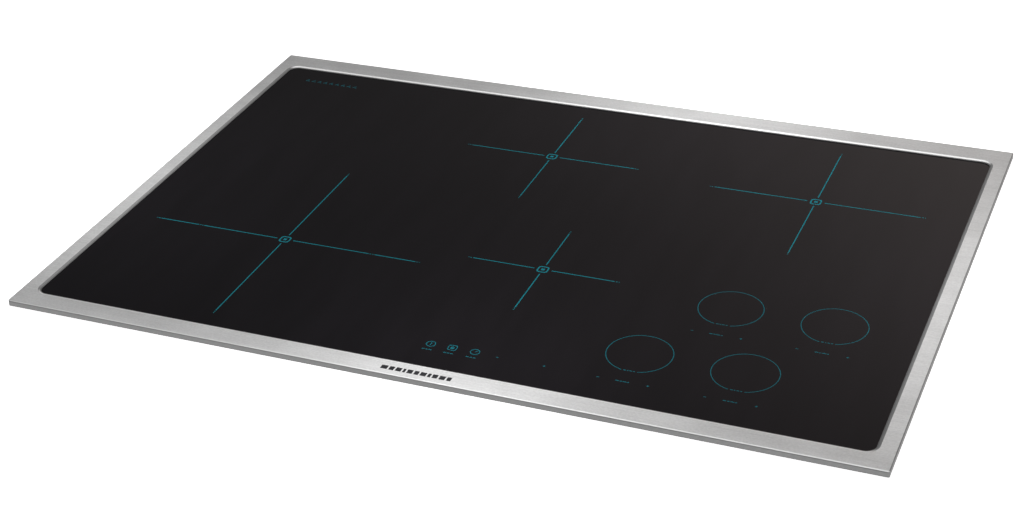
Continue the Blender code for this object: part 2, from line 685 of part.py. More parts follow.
def make_mains_entry():
    """Terminal block inside, cover plate outside, and the conduit gland through the plate."""
    wall = BOX_DEPTH / 2
    low = wall + GAP
    width, height = COVER_SIZE
    plate = bmesh.new()
    add_box(
        plate,
        (ENTRY_X - width / 2, low, ENTRY_Z - height / 2),
        (ENTRY_X + width / 2, low + BOX_SHEET, ENTRY_Z + height / 2),
    )
    cover = add_part("terminal_cover", plate, ZINC, (ENTRY_X, low, ENTRY_Z))
    holes = bmesh.new()
    add_cylinder(holes, (ENTRY_X, 0, ENTRY_Z), GLAND_RADIUS + GAP, low - 0.003, low + 0.005, 20, "Y")
    for x, z in cover_screw_places():
        add_cylinder(holes, (x, 0, z), SCREW_SHANK + GAP, low - 0.003, low + 0.005, 8, "Y")
    add_boolean(cover, holes, "DIFFERENCE", "cover_holes")
    outside = low + BOX_SHEET + GAP
    gland = (
        (GLAND_BORE, wall - 0.010),
        (GLAND_RADIUS, wall - 0.010),
        (GLAND_RADIUS, outside),
        (0.0165, outside),
        (0.0165, outside + 0.006),
        (0.0135, outside + 0.008),
        (0.0135, outside + 0.018),
        (GLAND_BORE, outside + 0.018),
    )
    centre = (ENTRY_X, 0, ENTRY_Z)
    add_part("conduit_gland", turned(gland, 20, centre, "Y"), ALUMINIUM, (ENTRY_X, outside, ENTRY_Z), True)
    for side, (x, z) in zip(("left", "right"), cover_screw_places()):
        screw = turned(screw_profile(outside, wall - 0.006), 10, (x, 0, z), "Y")
        add_part("cover_screw_" + side, screw, ZINC, (x, outside, z))
    base, step, deep = 0.006, 0.015, 0.018
    left = ENTRY_X - 2 * step
    outline = [(left, FLOOR_TOP + GAP), (left + 4 * step, FLOOR_TOP + GAP)]
    for cell in reversed(range(4)):
        edge = left + cell * step
        outline += [
            (edge + step, deep),
            (edge + step - 0.0035, deep),
            (edge + step - 0.0035, base + 0.004),
            (edge + 0.0035, base + 0.004),
            (edge + 0.0035, deep),
        ]
    outline.append((left, deep))
    block = prism(outline, "Y", wall - 0.060, wall - 0.030)
    add_part("terminal_block", block, BLACK_PLASTIC, (ENTRY_X, wall - 0.045, FLOOR_TOP + GAP))


def screw_profile(under_head, tip):
    """A pan-head screw: under_head is where the head rests, and tip is its far end."""
    out = math.copysign(1.0, under_head - tip)
    return (
        (0.0, tip),
        (SCREW_SHANK, tip),
        (SCREW_SHANK, under_head),
        (SCREW_HEAD, under_head),
        (SCREW_HEAD * 0.8, under_head + out * 0.002),
        (0.0, under_head + out * 0.0024),
    )


def make_clamp(name, side):
    """Hold-down clamp: bracket on the box's side, thumb screw, and the pad on its tip."""
    wall = BOX_WIDTH / 2 + GAP
    reach = TRIM_WIDTH / 2 - 0.0015
    half = BRACKET_WIDTH / 2
    arm_top = ARM_LOW + ARM_SHEET
    outline = [
        (wall, BRACKET_LOW),
        (wall + ARM_SHEET, BRACKET_LOW),
        (wall + ARM_SHEET, ARM_LOW),
        (reach, ARM_LOW),
        (reach, arm_top),
        (wall, arm_top),
    ]
    shape = prism([(side * x, z) for x, z in outline], "Y", -half, half)
    bracket = add_part(name + "_clamp_bracket", shape, ZINC, (side * wall, 0, ARM_LOW))
    holes = bmesh.new()
    add_cylinder(holes, (side * CLAMP_X, 0, 0), CLAMP_THREAD + GAP, ARM_LOW - 0.003, arm_top + 0.003, 16)
    screws = [(y, z) for where, y, z in bracket_screw_places() if where == side]
    for y, z in screws:
        add_cylinder(holes, (0, y, z), SCREW_SHANK + GAP, side * wall - 0.005, side * wall + 0.005, 8, "X")
    add_boolean(bracket, holes, "DIFFERENCE", name + "_bracket_holes")
    under_head = side * (wall + ARM_SHEET + GAP)
    for where, (y, z) in zip(("front", "back"), screws):
        screw = turned(screw_profile(under_head, side * (wall - 0.006)), 10, (0, y, z), "X")
        add_part(f"{name}_bracket_screw_{where}", screw, ZINC, (under_head, y, z))
    head_low, head_top = CLAMP_HEAD
    pad_low = PAD_TOP - PAD_THICK
    tip = pad_low + 0.0025
    thumb_screw = (
        (0.0, head_low),
        (CLAMP_HEAD_RADIUS, head_low),
        (CLAMP_HEAD_RADIUS, head_top),
        (CLAMP_THREAD, head_top),
        (CLAMP_THREAD, tip),
        (0.0, tip),
    )
    centre = (side * CLAMP_X, 0, 0)
    screw = turned(thumb_screw, 16, centre)
    add_part(name + "_clamp_screw", screw, ZINC, (side * CLAMP_X, 0, head_low), smooth=True)
    pad = (
        (CLAMP_THREAD + GAP, pad_low),
        (PAD_RADIUS, pad_low),
        (PAD_RADIUS, PAD_TOP),
        (0.0, PAD_TOP),
        (0.0, tip + GAP),
        (CLAMP_THREAD + GAP, tip + GAP),
    )
    add_part(name + "_clamp_pad", turned(pad, 16, centre), BLACK_PLASTIC, (side * CLAMP_X, 0, pad_low), True)


def main():
    clear_scene()
    make_trim()
    make_glass()
    make_seals()
    make_burner_box()
    make_coil_tray()
    for zone, x, y, outer in ZONES:
        make_coil(zone, x, y, outer)
    for name, x, y in FANS:
        make_fan(name, x, y)
    make_electronics()
    make_controls()
    make_mains_entry()
    make_clamp("left", -1)
    make_clamp("right", 1)


main()
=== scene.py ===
"""Looks of a drop-in induction cooktop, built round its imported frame.

A brushed steel trim lies on a pale worktop and holds the black glass with its teal print. Below it
hangs the vented burner box, with coils, fans, boards, the mains entry and two hold-down clamps.
"""

from __future__ import annotations

import logging
import math
import random
import sys
from collections.abc import Callable, Iterable, Sequence
from dataclasses import dataclass, replace
from enum import Enum
from itertools import product

import bmesh
import bpy
from mathutils import Matrix, Vector

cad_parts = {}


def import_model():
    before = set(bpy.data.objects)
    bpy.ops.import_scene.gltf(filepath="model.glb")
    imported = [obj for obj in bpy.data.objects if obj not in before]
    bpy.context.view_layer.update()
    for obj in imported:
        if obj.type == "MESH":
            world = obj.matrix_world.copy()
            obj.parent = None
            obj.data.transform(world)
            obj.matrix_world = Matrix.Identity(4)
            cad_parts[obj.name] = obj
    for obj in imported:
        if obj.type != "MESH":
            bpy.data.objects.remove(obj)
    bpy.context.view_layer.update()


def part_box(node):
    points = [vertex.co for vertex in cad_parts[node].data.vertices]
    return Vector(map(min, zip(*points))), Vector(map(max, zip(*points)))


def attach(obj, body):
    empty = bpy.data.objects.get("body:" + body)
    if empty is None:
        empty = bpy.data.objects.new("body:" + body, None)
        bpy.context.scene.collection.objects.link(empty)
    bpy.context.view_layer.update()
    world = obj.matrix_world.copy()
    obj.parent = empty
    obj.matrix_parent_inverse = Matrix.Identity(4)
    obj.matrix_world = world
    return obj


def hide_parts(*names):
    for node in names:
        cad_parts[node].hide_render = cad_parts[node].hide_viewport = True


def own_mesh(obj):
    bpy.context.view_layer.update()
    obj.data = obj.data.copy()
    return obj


LOG = logging.getLogger("cooktop")
Colour = tuple[float, float, float]
Point = tuple[float, float, float]
Pair = tuple[float, float]
TURN = 2 * math.pi
RIGHT, UP = Vector((1, 0, 0)), Vector((0, 0, 1))
CORNERS = tuple(product((-1, 1), repeat=2))
ARC_FACET = 7.5  # degrees of a printed arc that one facet spans
SMALL_ROUND = 20  # facets round a small head or foot
MERGE = 1e-6  # distance under which two vertices are one

# Degrees between two faces: of one flat, past which an edge is eased, and past which it is sharp
FLAT = 0.5
HARD = 40.0
SHARP = 21.0
SHARP_PRINT = 10.0
SHARP_SCREW = 28.0
SHARP_TRIM = 30.0


# Shader maths


def math_method(operation: str, swapped: bool = False) -> Callable[..., Signal]:
    """Return a method of a signal that adds a Math node, with its own value last if swapped."""

    def method(self: Signal, *others: Signal | float) -> Signal:
        """Add the node."""
        values = (*others, self) if swapped else (self, *others)
        return self.shader.node("ShaderNodeMath", {"operation": operation}, values)

    return method


class Signal:
    """One output socket of a material, with arithmetic that adds Math nodes."""

    __add__ = __radd__ = math_method("ADD")
    __sub__ = math_method("SUBTRACT")
    __rsub__ = math_method("SUBTRACT", swapped=True)
    __mul__ = __rmul__ = math_method("MULTIPLY")
    __pow__ = math_method("POWER")
    __gt__ = math_method("GREATER_THAN")
    at_least = math_method("MAXIMUM")
    absolute = math_method("ABSOLUTE")
    fraction = math_method("FRACT")

    def __init__(self, shader: Shader, socket: bpy.types.NodeSocket) -> None:
        """Keep the socket and the shader that it belongs to."""
        self.shader = shader
        self.socket = socket

    def spread(self, low: float, high: float, start: float = 0.0, end: float = 1.0) -> Signal:
        """Map low..high smoothly to start..end, and hold the ends.

        Args:
            low: Value that gives start.
            high: Value that gives end.
            start: Result at and below low.
            end: Result at and above high.

        Returns:
            The mapped value.
        """
        return self.shader.node(
            "ShaderNodeMapRange",
            {"interpolation_type": "SMOOTHSTEP"},
            {"Value": self, "From Min": low, "From Max": high, "To Min": start, "To Max": end},
        )


Value = Signal | float | Sequence[float]


class Shader:
    """Makes and joins the nodes of one material or world."""

    def __init__(self, tree: bpy.types.NodeTree) -> None:
        """Start on a node tree that may hold its default nodes."""
        self.tree = tree

    def node(
        self,
        kind: str,
        settings: dict[str, object] | None = None,
        inputs: dict[str | int, Value] | Sequence[Value] = (),
        output: str | int = 0,
    ) -> Signal:
        """Add any node.

        Args:
            kind: The node's type name.
            settings: The node's own settings, set before its sockets.
            inputs: Values or links of its sockets, by name, number or order.
            output: The socket to return.

        Returns:
            The chosen output.
        """
        made = self.tree.nodes.new(kind)
        for name, value in (settings or {}).items():
            setattr(made, name, value)
        pairs = inputs.items() if isinstance(inputs, dict) else enumerate(inputs)
        for name, value in pairs:
            self.feed(made.inputs[name], value)
        return Signal(self, made.outputs[output])

    def feed(self, socket: bpy.types.NodeSocket, value: Value) -> None:
        """Link a signal to a socket, or set the socket to a number or colour."""
        if isinstance(value, Signal):
            self.tree.links.new(value.socket, socket)
        elif socket.type == "RGBA":
            socket.default_value = (*value[:3], 1.0)
        else:
            socket.default_value = value

    def place(self, scale: Point = (1.0, 1.0, 1.0)) -> Signal:
        """Return object coordinates, each axis multiplied by its scale."""
        coordinates = self.node("ShaderNodeTexCoord", output="Object")
        return self.node("ShaderNodeMapping", {}, {"Vector": coordinates, "Scale": scale})

    def axes(self, vector: Signal) -> tuple[Signal, Signal, Signal]:
        """Split a vector into its three numbers."""
        split = self.node("ShaderNodeSeparateXYZ", {}, [vector])
        return tuple(Signal(self, socket) for socket in split.socket.node.outputs)

    def noise(self, scale: Point, detail: float = 2.0, roughness: float = 0.5) -> Signal:
        """Return noise on object coordinates, with its cells per metre along each axis."""
        inputs = {"Vector": self.place(scale), "Scale": 1.0, "Detail": detail}
        return self.node("ShaderNodeTexNoise", {}, {**inputs, "Roughness": roughness}, "Fac")

    def mix(self, factor: Value, first: Value, second: Value) -> Signal:
        """Blend two colours; the factor is the second one's share."""
        colour_sockets = {0: factor, 6: first, 7: second}
        return self.node("ShaderNodeMix", {"data_type": "RGBA"}, colour_sockets, 2)

    def bump(self, height: Signal, depth: float, strength: float = 1.0) -> Signal:
        """Turn a height of 0 to 1 into a normal, for a relief of the given depth in metres."""
        inputs = {"Strength": strength, "Distance": depth, "Height": height}
        return self.node("ShaderNodeBump", {}, inputs)


# Finishes

MOTTLE = (90.0, 90.0, 90.0)
GRIT = (1500.0, 1500.0, 1500.0)


def grey(level: float) -> Colour:
    """Return a neutral colour."""
    return (level, level, level)


@dataclass(frozen=True)
class Finish:
    """A plain satin finish, and the base of the others: moulded or painted, with faint mottling."""

    name: str
    colour: Colour
    roughness: float = 0.5
    metallic: float = 0.0
    slot: str | None = None
    grain: float = 0.00004
    shade: float = 0.12

    def material(self) -> bpy.types.Material:
        """Return this finish's material, made the first time that it is asked for."""
        found = bpy.data.materials.get(self.name)
        if found:
            return found
        made = bpy.data.materials.new(self.name)
        made.use_nodes = True
        made.diffuse_color = (*self.colour, 1.0)
        principled = made.node_tree.nodes["Principled BSDF"]
        principled.inputs["Roughness"].default_value = self.roughness
        principled.inputs["Metallic"].default_value = self.metallic
        shader = Shader(made.node_tree)
        for name, value in self.sockets(shader).items():
            shader.feed(principled.inputs[name], value)
        return made

    def sockets(self, shader: Shader) -> dict[str, Value]:
        """Return the Principled sockets that differ from a plain colour.

        Args:
            shader: The material's node maker.

        Returns:
            Values and links by socket name.
        """
        mottle = shader.noise(MOTTLE, 3.0)
        grain = shader.noise(GRIT)
        return {
            "Base Color": self.shaded(shader, mottle),
            "Roughness": mottle.spread(0.3, 0.7, self.roughness - 0.05, self.roughness + 0.06),
            "Normal": shader.bump(grain, self.grain),
        }

    def shaded(self, shader: Shader, pattern: Signal) -> Signal:
        """Vary the colour a little, darker where the pattern is low.

        Args:
            shader: The material's node maker.
            pattern: A value of 0 to 1 over the surface.

        Returns:
            The varied colour.
        """
        dark = [channel * (1 - self.shade) for channel in self.colour]
        light = [min(1.0, channel * (1 + self.shade)) for channel in self.colour]
        return shader.mix(pattern.spread(0.3, 0.7), dark, light)


@dataclass(frozen=True)
class BrushedSteel(Finish):
    """Stainless sheet brushed along X, with painted shade on its turned-down skirt below the given
    height.
    """

    skirt_top: float = 0.0
    skirt_foot: float = 0.0
    # Painted shade: the skirt and the darker lines along its top and foot stand in for shade on the
    # turned-down sheet.
    skirt_shade_colour: Colour = grey(0.34)
    seam_shade_colour: Colour = grey(0.16)
    # Painted shade on the side lips.
    lip_shade_colour: Colour = grey(0.20)
    # Painted highlight on the front and back lips.
    lip_highlight_colour: Colour = grey(0.92)
    skirt_shade_fade: float = 0.0004

    def sockets(self, shader: Shader) -> dict[str, Value]:
        """Return streaks and grit, painted shade on the skirt, its edges and the side lips, and
        painted highlight on the front and back lips.
        """
        fine = shader.noise((9.0, 1700.0, 400.0), 3.0, 0.6)
        broad = shader.noise((5.0, 260.0, 120.0))
        cloud = shader.noise((22.0, 34.0, 34.0))
        grit = shader.noise((480.0, 620.0, 620.0), 2.0, 0.6)
        streak = fine * 0.30 + broad * 0.15 + grit * 0.35 + cloud * 0.2
        height = shader.axes(shader.place())[2]
        normal = shader.axes(shader.node("ShaderNodeNewGeometry", output="Normal"))
        across, along = normal[0].absolute(), normal[1].absolute()
        # Painted shade: below skirt_top the skirt is painted darker, and darker still along its top
        # and foot, less so on the side skirts.
        edge = height.spread(self.skirt_top, self.skirt_top + self.skirt_shade_fade, 1.0, 0.0)
        half = (self.skirt_top - self.skirt_foot) / 2
        seam_shade_mask = (height - (self.skirt_foot + half)).absolute().spread(half * 0.72, half * 0.98)
        seam_shade_mask = seam_shade_mask * across.spread(0.6, 0.9, 1.0, 0.3)
        skirt = shader.mix(seam_shade_mask, self.skirt_shade_colour, self.seam_shade_colour)
        brushed = self.shaded(shader, streak)
        # Painted shade: lips that face left and right are painted dark.
        flat = shader.mix(across.spread(0.08, 0.24, 0.0, 0.9), brushed, self.lip_shade_colour)
        # Painted highlight: lips that face front and back are painted bright.
        flat = shader.mix(along.spread(0.12, 0.30, 0.0, 0.8), flat, self.lip_highlight_colour)
        return {
            "Base Color": shader.mix(edge, flat, skirt),
            "Roughness": streak.spread(0.3, 0.7, self.roughness - 0.06, self.roughness + 0.08),
            "Normal": shader.bump(streak, self.grain),
        }


@dataclass(frozen=True)
class CeramicGlass(Finish):
    """Polished black ceramic glass, with the faint ripple that rolled glass keeps."""

    def sockets(self, shader: Shader) -> dict[str, Value]:
        """Return a deep black, a hairline variation of the polish and a long ripple."""
        ripple = shader.noise((14.0, 14.0, 14.0), 1.0)
        smear = shader.noise((40.0, 7.0, 20.0), 3.0)
        return {
            "Base Color": self.shaded(shader, smear),
            "Roughness": smear.spread(0.35, 0.75, self.roughness, self.roughness + 0.035),
            "Normal": shader.bump(ripple, self.grain, 0.3),
            "Specular IOR Level": 0.5,
            "Specular Tint": (1.0, 0.94, 1.0),
        }


@dataclass(frozen=True)
class PrintInk(Finish):
    """Fired screen print: matt enamel with an uneven coat, and a painted glow that keeps it light
    enough to read on black.
    """

    # Strength of the ink's painted glow.
    glow: float = 0.0

    def sockets(self, shader: Shader) -> dict[str, Value]:
        """Return a speckled colour that glows with painted light of its own."""
        speckle = shader.noise((900.0, 900.0, 900.0))
        colour = self.shaded(shader, speckle)
        return {
            "Base Color": colour,
            # Painted light: the ink glows with its own colour.
            "Emission Color": colour,
            "Emission Strength": self.glow,
            "Specular IOR Level": 0.2,
            "Normal": shader.bump(speckle, self.grain),
        }


@dataclass(frozen=True)
class GalvanisedSheet(Finish):
    """Zinc-coated sheet with the flat crystals of its spangle."""

    spangle: float = 210.0

    def sockets(self, shader: Shader) -> dict[str, Value]:
        """Return crystal-sized patches of shade and polish with dull clouds between them."""
        warp = shader.noise((60.0, 60.0, 60.0))
        cells = {"Vector": shader.place(), "Scale": self.spangle, "Randomness": 1.0}
        crystal = shader.node("ShaderNodeTexVoronoi", {}, cells, "Color")
        patch = shader.axes(crystal)[0] * 0.7 + warp * 0.3
        return {
            "Base Color": self.shaded(shader, patch),
            "Roughness": patch.spread(0.1, 0.9, self.roughness - 0.04, self.roughness + 0.04),
            "Normal": shader.bump(warp, self.grain),
        }


@dataclass(frozen=True)
class LitzWire(Finish):
    """Bunched enamelled strands, each lying at a slant to the turn it belongs to."""

    strands: float = 2600.0

    def sockets(self, shader: Shader) -> dict[str, Value]:
        """Return fine slanting strands with painted shade in the gaps between them."""
        settings = {"wave_type": "BANDS", "bands_direction": "DIAGONAL"}
        bands = {"Vector": shader.place(), "Scale": self.strands / TURN / 3, "Distortion": 1.5}
        strand = shader.node("ShaderNodeTexWave", settings, bands, "Fac")
        # Painted shade in the gaps between strands.
        gap = [channel * 0.35 for channel in self.colour]
        return {
            "Base Color": shader.mix(strand.spread(0.05, 0.5), gap, self.colour),
            "Roughness": strand.spread(0.0, 1.0, self.roughness + 0.15, self.roughness - 0.05),
            "Normal": shader.bump(strand, self.grain),
        }


@dataclass(frozen=True)
class CircuitLaminate(Finish):
    """Solder-masked board with copper tracks that show as lighter lines under the mask."""

    track: Colour = (0.09, 0.36, 0.18)

    def sockets(self, shader: Shader) -> dict[str, Value]:
        """Return tracks along X and Y, in patches where the routing changes its direction."""
        x, y, _ = shader.axes(shader.place())
        patch = shader.noise((38.0, 38.0, 0.0), 0.0)
        lines = [(axis * 420.0).fraction() > 0.62 for axis in (x, y)]
        choice = patch > 0.5
        tracks = lines[0] * choice + lines[1] * (1 - choice)
        return {
            "Base Color": shader.mix(tracks * 0.8, self.colour, self.track),
            "Roughness": tracks.spread(0.0, 1.0, self.roughness, self.roughness - 0.12),
            "Normal": shader.bump(tracks, self.grain),
        }


STEEL = BrushedSteel("brushed_steel", grey(0.64), 0.38, 0.55, "trim_steel", 0.000008, 0.15)
GLASS = CeramicGlass(
    "ceramic_glass", (0.0035, 0.0030, 0.0038), 0.045, slot="black_glass", grain=0.00002
)
# Both print inks glow with painted light.
INK = PrintInk("teal_print", (0.002, 0.085, 0.105), 0.6, grain=0.000004, glow=0.55)
SOFT_INK = replace(INK, name="faint_teal_print", colour=(0.002, 0.052, 0.066), glow=0.5)
PLATE = Finish("badge_enamel", (0.012, 0.012, 0.014), 0.35, grain=0.000004)
SILICONE = Finish("black_silicone", (0.018, 0.018, 0.019), 0.55, slot="black_silicone")
FOAM = Finish("gasket_foam", grey(0.05), 0.9, slot="gasket_foam", grain=0.0004, shade=0.4)
ZINC = GalvanisedSheet(
    "galvanised_sheet", (0.54, 0.55, 0.56), 0.42, 1.0, "zinc_steel", 0.00002, 0.09
)
SCREW_ZINC = Finish("bright_zinc", (0.62, 0.62, 0.60), 0.30, 1.0, "zinc_steel", 0.00001)
ALUMINIUM = Finish("mill_aluminium", (0.74, 0.75, 0.76), 0.36, 1.0, "aluminium", 0.00001, 0.08)
COPPER = LitzWire("litz_copper", (0.62, 0.27, 0.11), 0.40, 1.0, "litz_copper", 0.00015)
FERRITE = Finish("ferrite", (0.06, 0.06, 0.065), 0.6, 0.0, "ferrite", 0.00008, 0.3)
MICA = Finish("mica_sheet", (0.62, 0.55, 0.40), 0.42, 0.0, "mica", 0.00003, 0.28)
CERAMIC = Finish("ceramic", (0.84, 0.83, 0.79), 0.5, 0.0, "ceramic", 0.00002, 0.05)
SPRING = Finish("spring_steel", (0.46, 0.46, 0.47), 0.28, 1.0, "spring_steel", 0.00001)
BLACK_PLASTIC = Finish("black_plastic", (0.025, 0.025, 0.027), 0.5, 0.0, "black_plastic", 0.00006)
GREY_PLASTIC = Finish("grey_plastic", (0.42, 0.42, 0.41), 0.5, 0.0, "grey_plastic", 0.00004, 0.08)
BRASS = Finish("brass", (0.70, 0.50, 0.20), 0.32, 1.0, None, 0.00001)
PAD_COPPER = Finish("pad_copper", (0.72, 0.42, 0.22), 0.38, 1.0, None, 0.00001)
BOARD = CircuitLaminate("circuit_board", (0.02, 0.17, 0.07), 0.42, 0.0, "board_green", 0.00003)


# Mesh making


class Axis(Enum):
    """A coordinate axis, with the turn that lays a Z-built shape along it."""

    X = "X"
    Y = "Y"
    Z = "Z"

    def turn(self) -> Matrix:
        """Return the rotation that takes +Z to this axis."""
        turns = {"X": Matrix.Rotation(TURN / 4, 4, "Y"), "Y": Matrix.Rotation(-TURN / 4, 4, "X")}
        return turns.get(self.value, Matrix.Identity(4))


@dataclass(frozen=True)
class Outline:
    """A rectangle with rounded corners at one height."""

    low: Pair
    high: Pair
    radius: float
    z: float

    def place(self) -> Matrix:
        """Return the matrix that takes a unit square to this rectangle."""
        low, high = Vector((*self.low, self.z)), Vector((*self.high, self.z))
        scale = Matrix.Diagonal((high.x - low.x, high.y - low.y, 1.0, 1.0))
        return Matrix.Translation((low + high) / 2) @ scale

    def corner(self, point: Vector) -> Vector:
        """Return the centre of the rounded corner that is nearest to a point."""
        middle = self.place().translation
        x = self.high[0] - self.radius if point.x > middle.x else self.low[0] + self.radius
        y = self.high[1] - self.radius if point.y > middle.y else self.low[1] + self.radius
        return Vector((x, y, self.z))

    def match(self, old: Outline, point: Vector) -> Vector:
        """Return the point of this outline that stands where a point does on an older one."""
        corner = old.corner(point)
        return self.corner(corner) + (point - corner) * (self.radius / old.radius)


def room(node: str) -> tuple[Vector, Vector, Vector]:
    """Return a CAD node's lowest corner, its highest corner and its middle."""
    low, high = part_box(node)
    return low, high, (low + high) / 2


def bevel(
    bm: bmesh.types.BMesh,
    geom: Iterable,
    width: float,
    affect: str = "EDGES",
    segments: int = 2,
) -> list:
    """Round edges or corners.

    Args:
        bm: The mesh.
        geom: The edges or the corners' vertices, each at least once.
        width: How far back the rounding starts.
        affect: Which of the two they are.
        segments: Facets across the rounding.

    Returns:
        The new vertices.
    """
    return bmesh.ops.bevel(
        bm,
        geom=list(dict.fromkeys(geom)),
        offset=width,
        offset_type="OFFSET",
        affect=affect,
        segments=segments,
        profile=0.5,
        material=-1,
        clamp_overlap=True,
    )["verts"]


def domed(radius: float, rise: float, steps: int = 5) -> list[Pair]:
    """Return the section of a low dome on a flat foot: radii and heights from the foot's middle."""
    angles = [TURN / 4 * step / steps for step in range(steps + 1)]
    return [(0.0, 0.0)] + [(radius * max(math.cos(a), 0.0), rise * math.sin(a)) for a in angles]


def oval(middle: float, half: Pair, steps: int) -> list[Pair]:
    """Return an oval section: radii round a middle one, and heights round zero."""
    angles = [TURN * step / steps for step in range(steps)]
    return [(middle + half[0] * math.cos(a), half[1] * math.sin(a)) for a in angles]


class Shape:
    """A mesh in the making, in metres and in the frame's own places."""

    def __init__(self) -> None:
        """Start with nothing."""
        self.bm = bmesh.new()

    def box(self, low: Sequence[float], high: Sequence[float], ease: float = 0.0) -> None:
        """Add a box between two corners, its edges eased by a width."""
        low, high = Vector(low), Vector(high)
        place = Matrix.Translation((low + high) / 2) @ Matrix.Diagonal((*(high - low), 1.0))
        verts = bmesh.ops.create_cube(self.bm, size=1.0, matrix=place)["verts"]
        if ease:
            bevel(self.bm, (edge for vert in verts for edge in vert.link_edges), ease)

    def rod(
        self,
        centre: Sequence[float],
        radius: float,
        span: Sequence[float],
        axis: Axis = Axis.Z,
        steps: int = 24,
        ease: float = 0.0,
    ) -> None:
        """Add a closed cylinder or prism.

        Args:
            centre: A point on its axis.
            radius: Its radius, or that of the circle round a prism.
            span: Low and high ends along the axis.
            axis: The way it runs.
            steps: Facets round it.
            ease: Width of its rounded rims.
        """
        middle = Vector(centre)
        middle["XYZ".index(axis.value)] = sum(span) / 2
        verts = bmesh.ops.create_cone(
            self.bm,
            cap_ends=True,
            segments=steps,
            radius1=radius,
            radius2=radius,
            depth=span[1] - span[0],
            matrix=Matrix.Translation(middle) @ axis.turn(),
        )["verts"]
        if ease:
            caps = [face for vert in verts for face in vert.link_faces if len(face.verts) == steps]
            bevel(self.bm, (edge for face in caps for edge in face.edges), ease)

    def spin(
        self,
        section: Sequence[Pair],
        place: Matrix,
        steps: int,
        angle: float = TURN,
        rise: float = 0.0,
    ) -> None:
        """Spin a closed section about Z in a mesh of its own, and move that to its place.

        Args:
            section: Radius and height of each corner, in order round the section.
            place: Where the spun part goes.
            steps: Facets along the whole way.
            angle: How far it turns; short of a turn, its two ends are capped.
            rise: How far it climbs; where it does, its two ends are capped.
        """
        whole = angle >= TURN and not rise
        part = bmesh.new()
        verts = [part.verts.new((radius, 0.0, height)) for radius, height in section]
        edges = [part.edges.new(pair) for pair in zip(verts, verts[1:] + verts[:1])]
        made = bmesh.ops.spin(
            part,
            geom=verts + edges,
            cent=(0, 0, 0),
            axis=(0, 0, 1),
            dvec=(0, 0, rise / steps),
            angle=angle,
            steps=steps,
            use_merge=whole,
        )
        if whole:
            on_axis = [vert for vert in part.verts if math.hypot(vert.co.x, vert.co.y) < 1e-7]
            bmesh.ops.remove_doubles(part, verts=on_axis, dist=MERGE)
            loose = [edge for edge in part.edges if not edge.link_faces]
            bmesh.ops.delete(part, geom=loose, context="EDGES")
        else:
            last = [item for item in made["geom_last"] if isinstance(item, bmesh.types.BMEdge)]
            bmesh.ops.contextual_create(part, geom=last)
            bmesh.ops.contextual_create(part, geom=edges)
        bmesh.ops.transform(part, matrix=place, verts=part.verts)
        mesh = bpy.data.meshes.new("part")
        part.to_mesh(mesh)
        part.free()
        self.bm.from_mesh(mesh)
        bpy.data.meshes.remove(mesh)

    def turned(
        self,
        profile: Sequence[Pair],
        centre: Sequence[float] = (0.0, 0.0, 0.0),
        axis: Axis = Axis.Z,
        steps: int = 48,
    ) -> None:
        """Add a solid of revolution.

        Args:
            profile: Radius and height of each corner, in order round the section.
            centre: Where the profile's own zero goes.
            axis: The axis of revolution.
            steps: Facets round it.
        """
        self.spin(profile, Matrix.Translation(centre) @ axis.turn(), steps)

    def helix(
        self,
        section: Sequence[Pair],
        centre: Sequence[float],
        pitch: float,
        turns: float,
        steps: int,
    ) -> None:
        """Screw a section up the Z axis.

        Args:
            section: Radius and height of each corner, in order round the section.
            centre: Where the section's own zero goes.
            pitch: Rise of one turn.
            turns: How many turns it makes.
            steps: Facets in one turn.
        """
        count = round(turns * steps)
        self.spin(section, Matrix.Translation(centre), count, TURN * turns, pitch * turns)

    def arc(
        self,
        centre: Sequence[float],
        radius: float,
        width: float,
        rise: float,
        span: Pair = (0.0, 360.0),
    ) -> None:
        """Add a flat ring, or part of one, a little thick.

        Args:
            centre: Centre of its foot.
            radius: Radius of its centreline.
            width: Width of the line.
            rise: Its thickness.
            span: Angles of its start and end, in degrees.
        """
        start, turn = span[0], span[1] - span[0]
        near, far = radius - width / 2, radius + width / 2
        place = Matrix.Translation(centre) @ Matrix.Rotation(math.radians(start), 4, "Z")
        section = ((near, 0.0), (far, 0.0), (far, rise), (near, rise))
        self.spin(section, place, max(3, round(turn / ARC_FACET)), math.radians(turn))

    def plate(self, outline: Sequence[Sequence[float]], rise: float) -> None:
        """Raise a flat closed outline, given at the plate's foot, by a height along Z."""
        face = self.bm.faces.new([self.bm.verts.new(point) for point in outline])
        raised = bmesh.ops.extrude_face_region(self.bm, geom=[face], use_keep_orig=True)["geom"]
        top = [item for item in raised if isinstance(item, bmesh.types.BMVert)]
        bmesh.ops.translate(self.bm, verts=top, vec=(0, 0, rise))

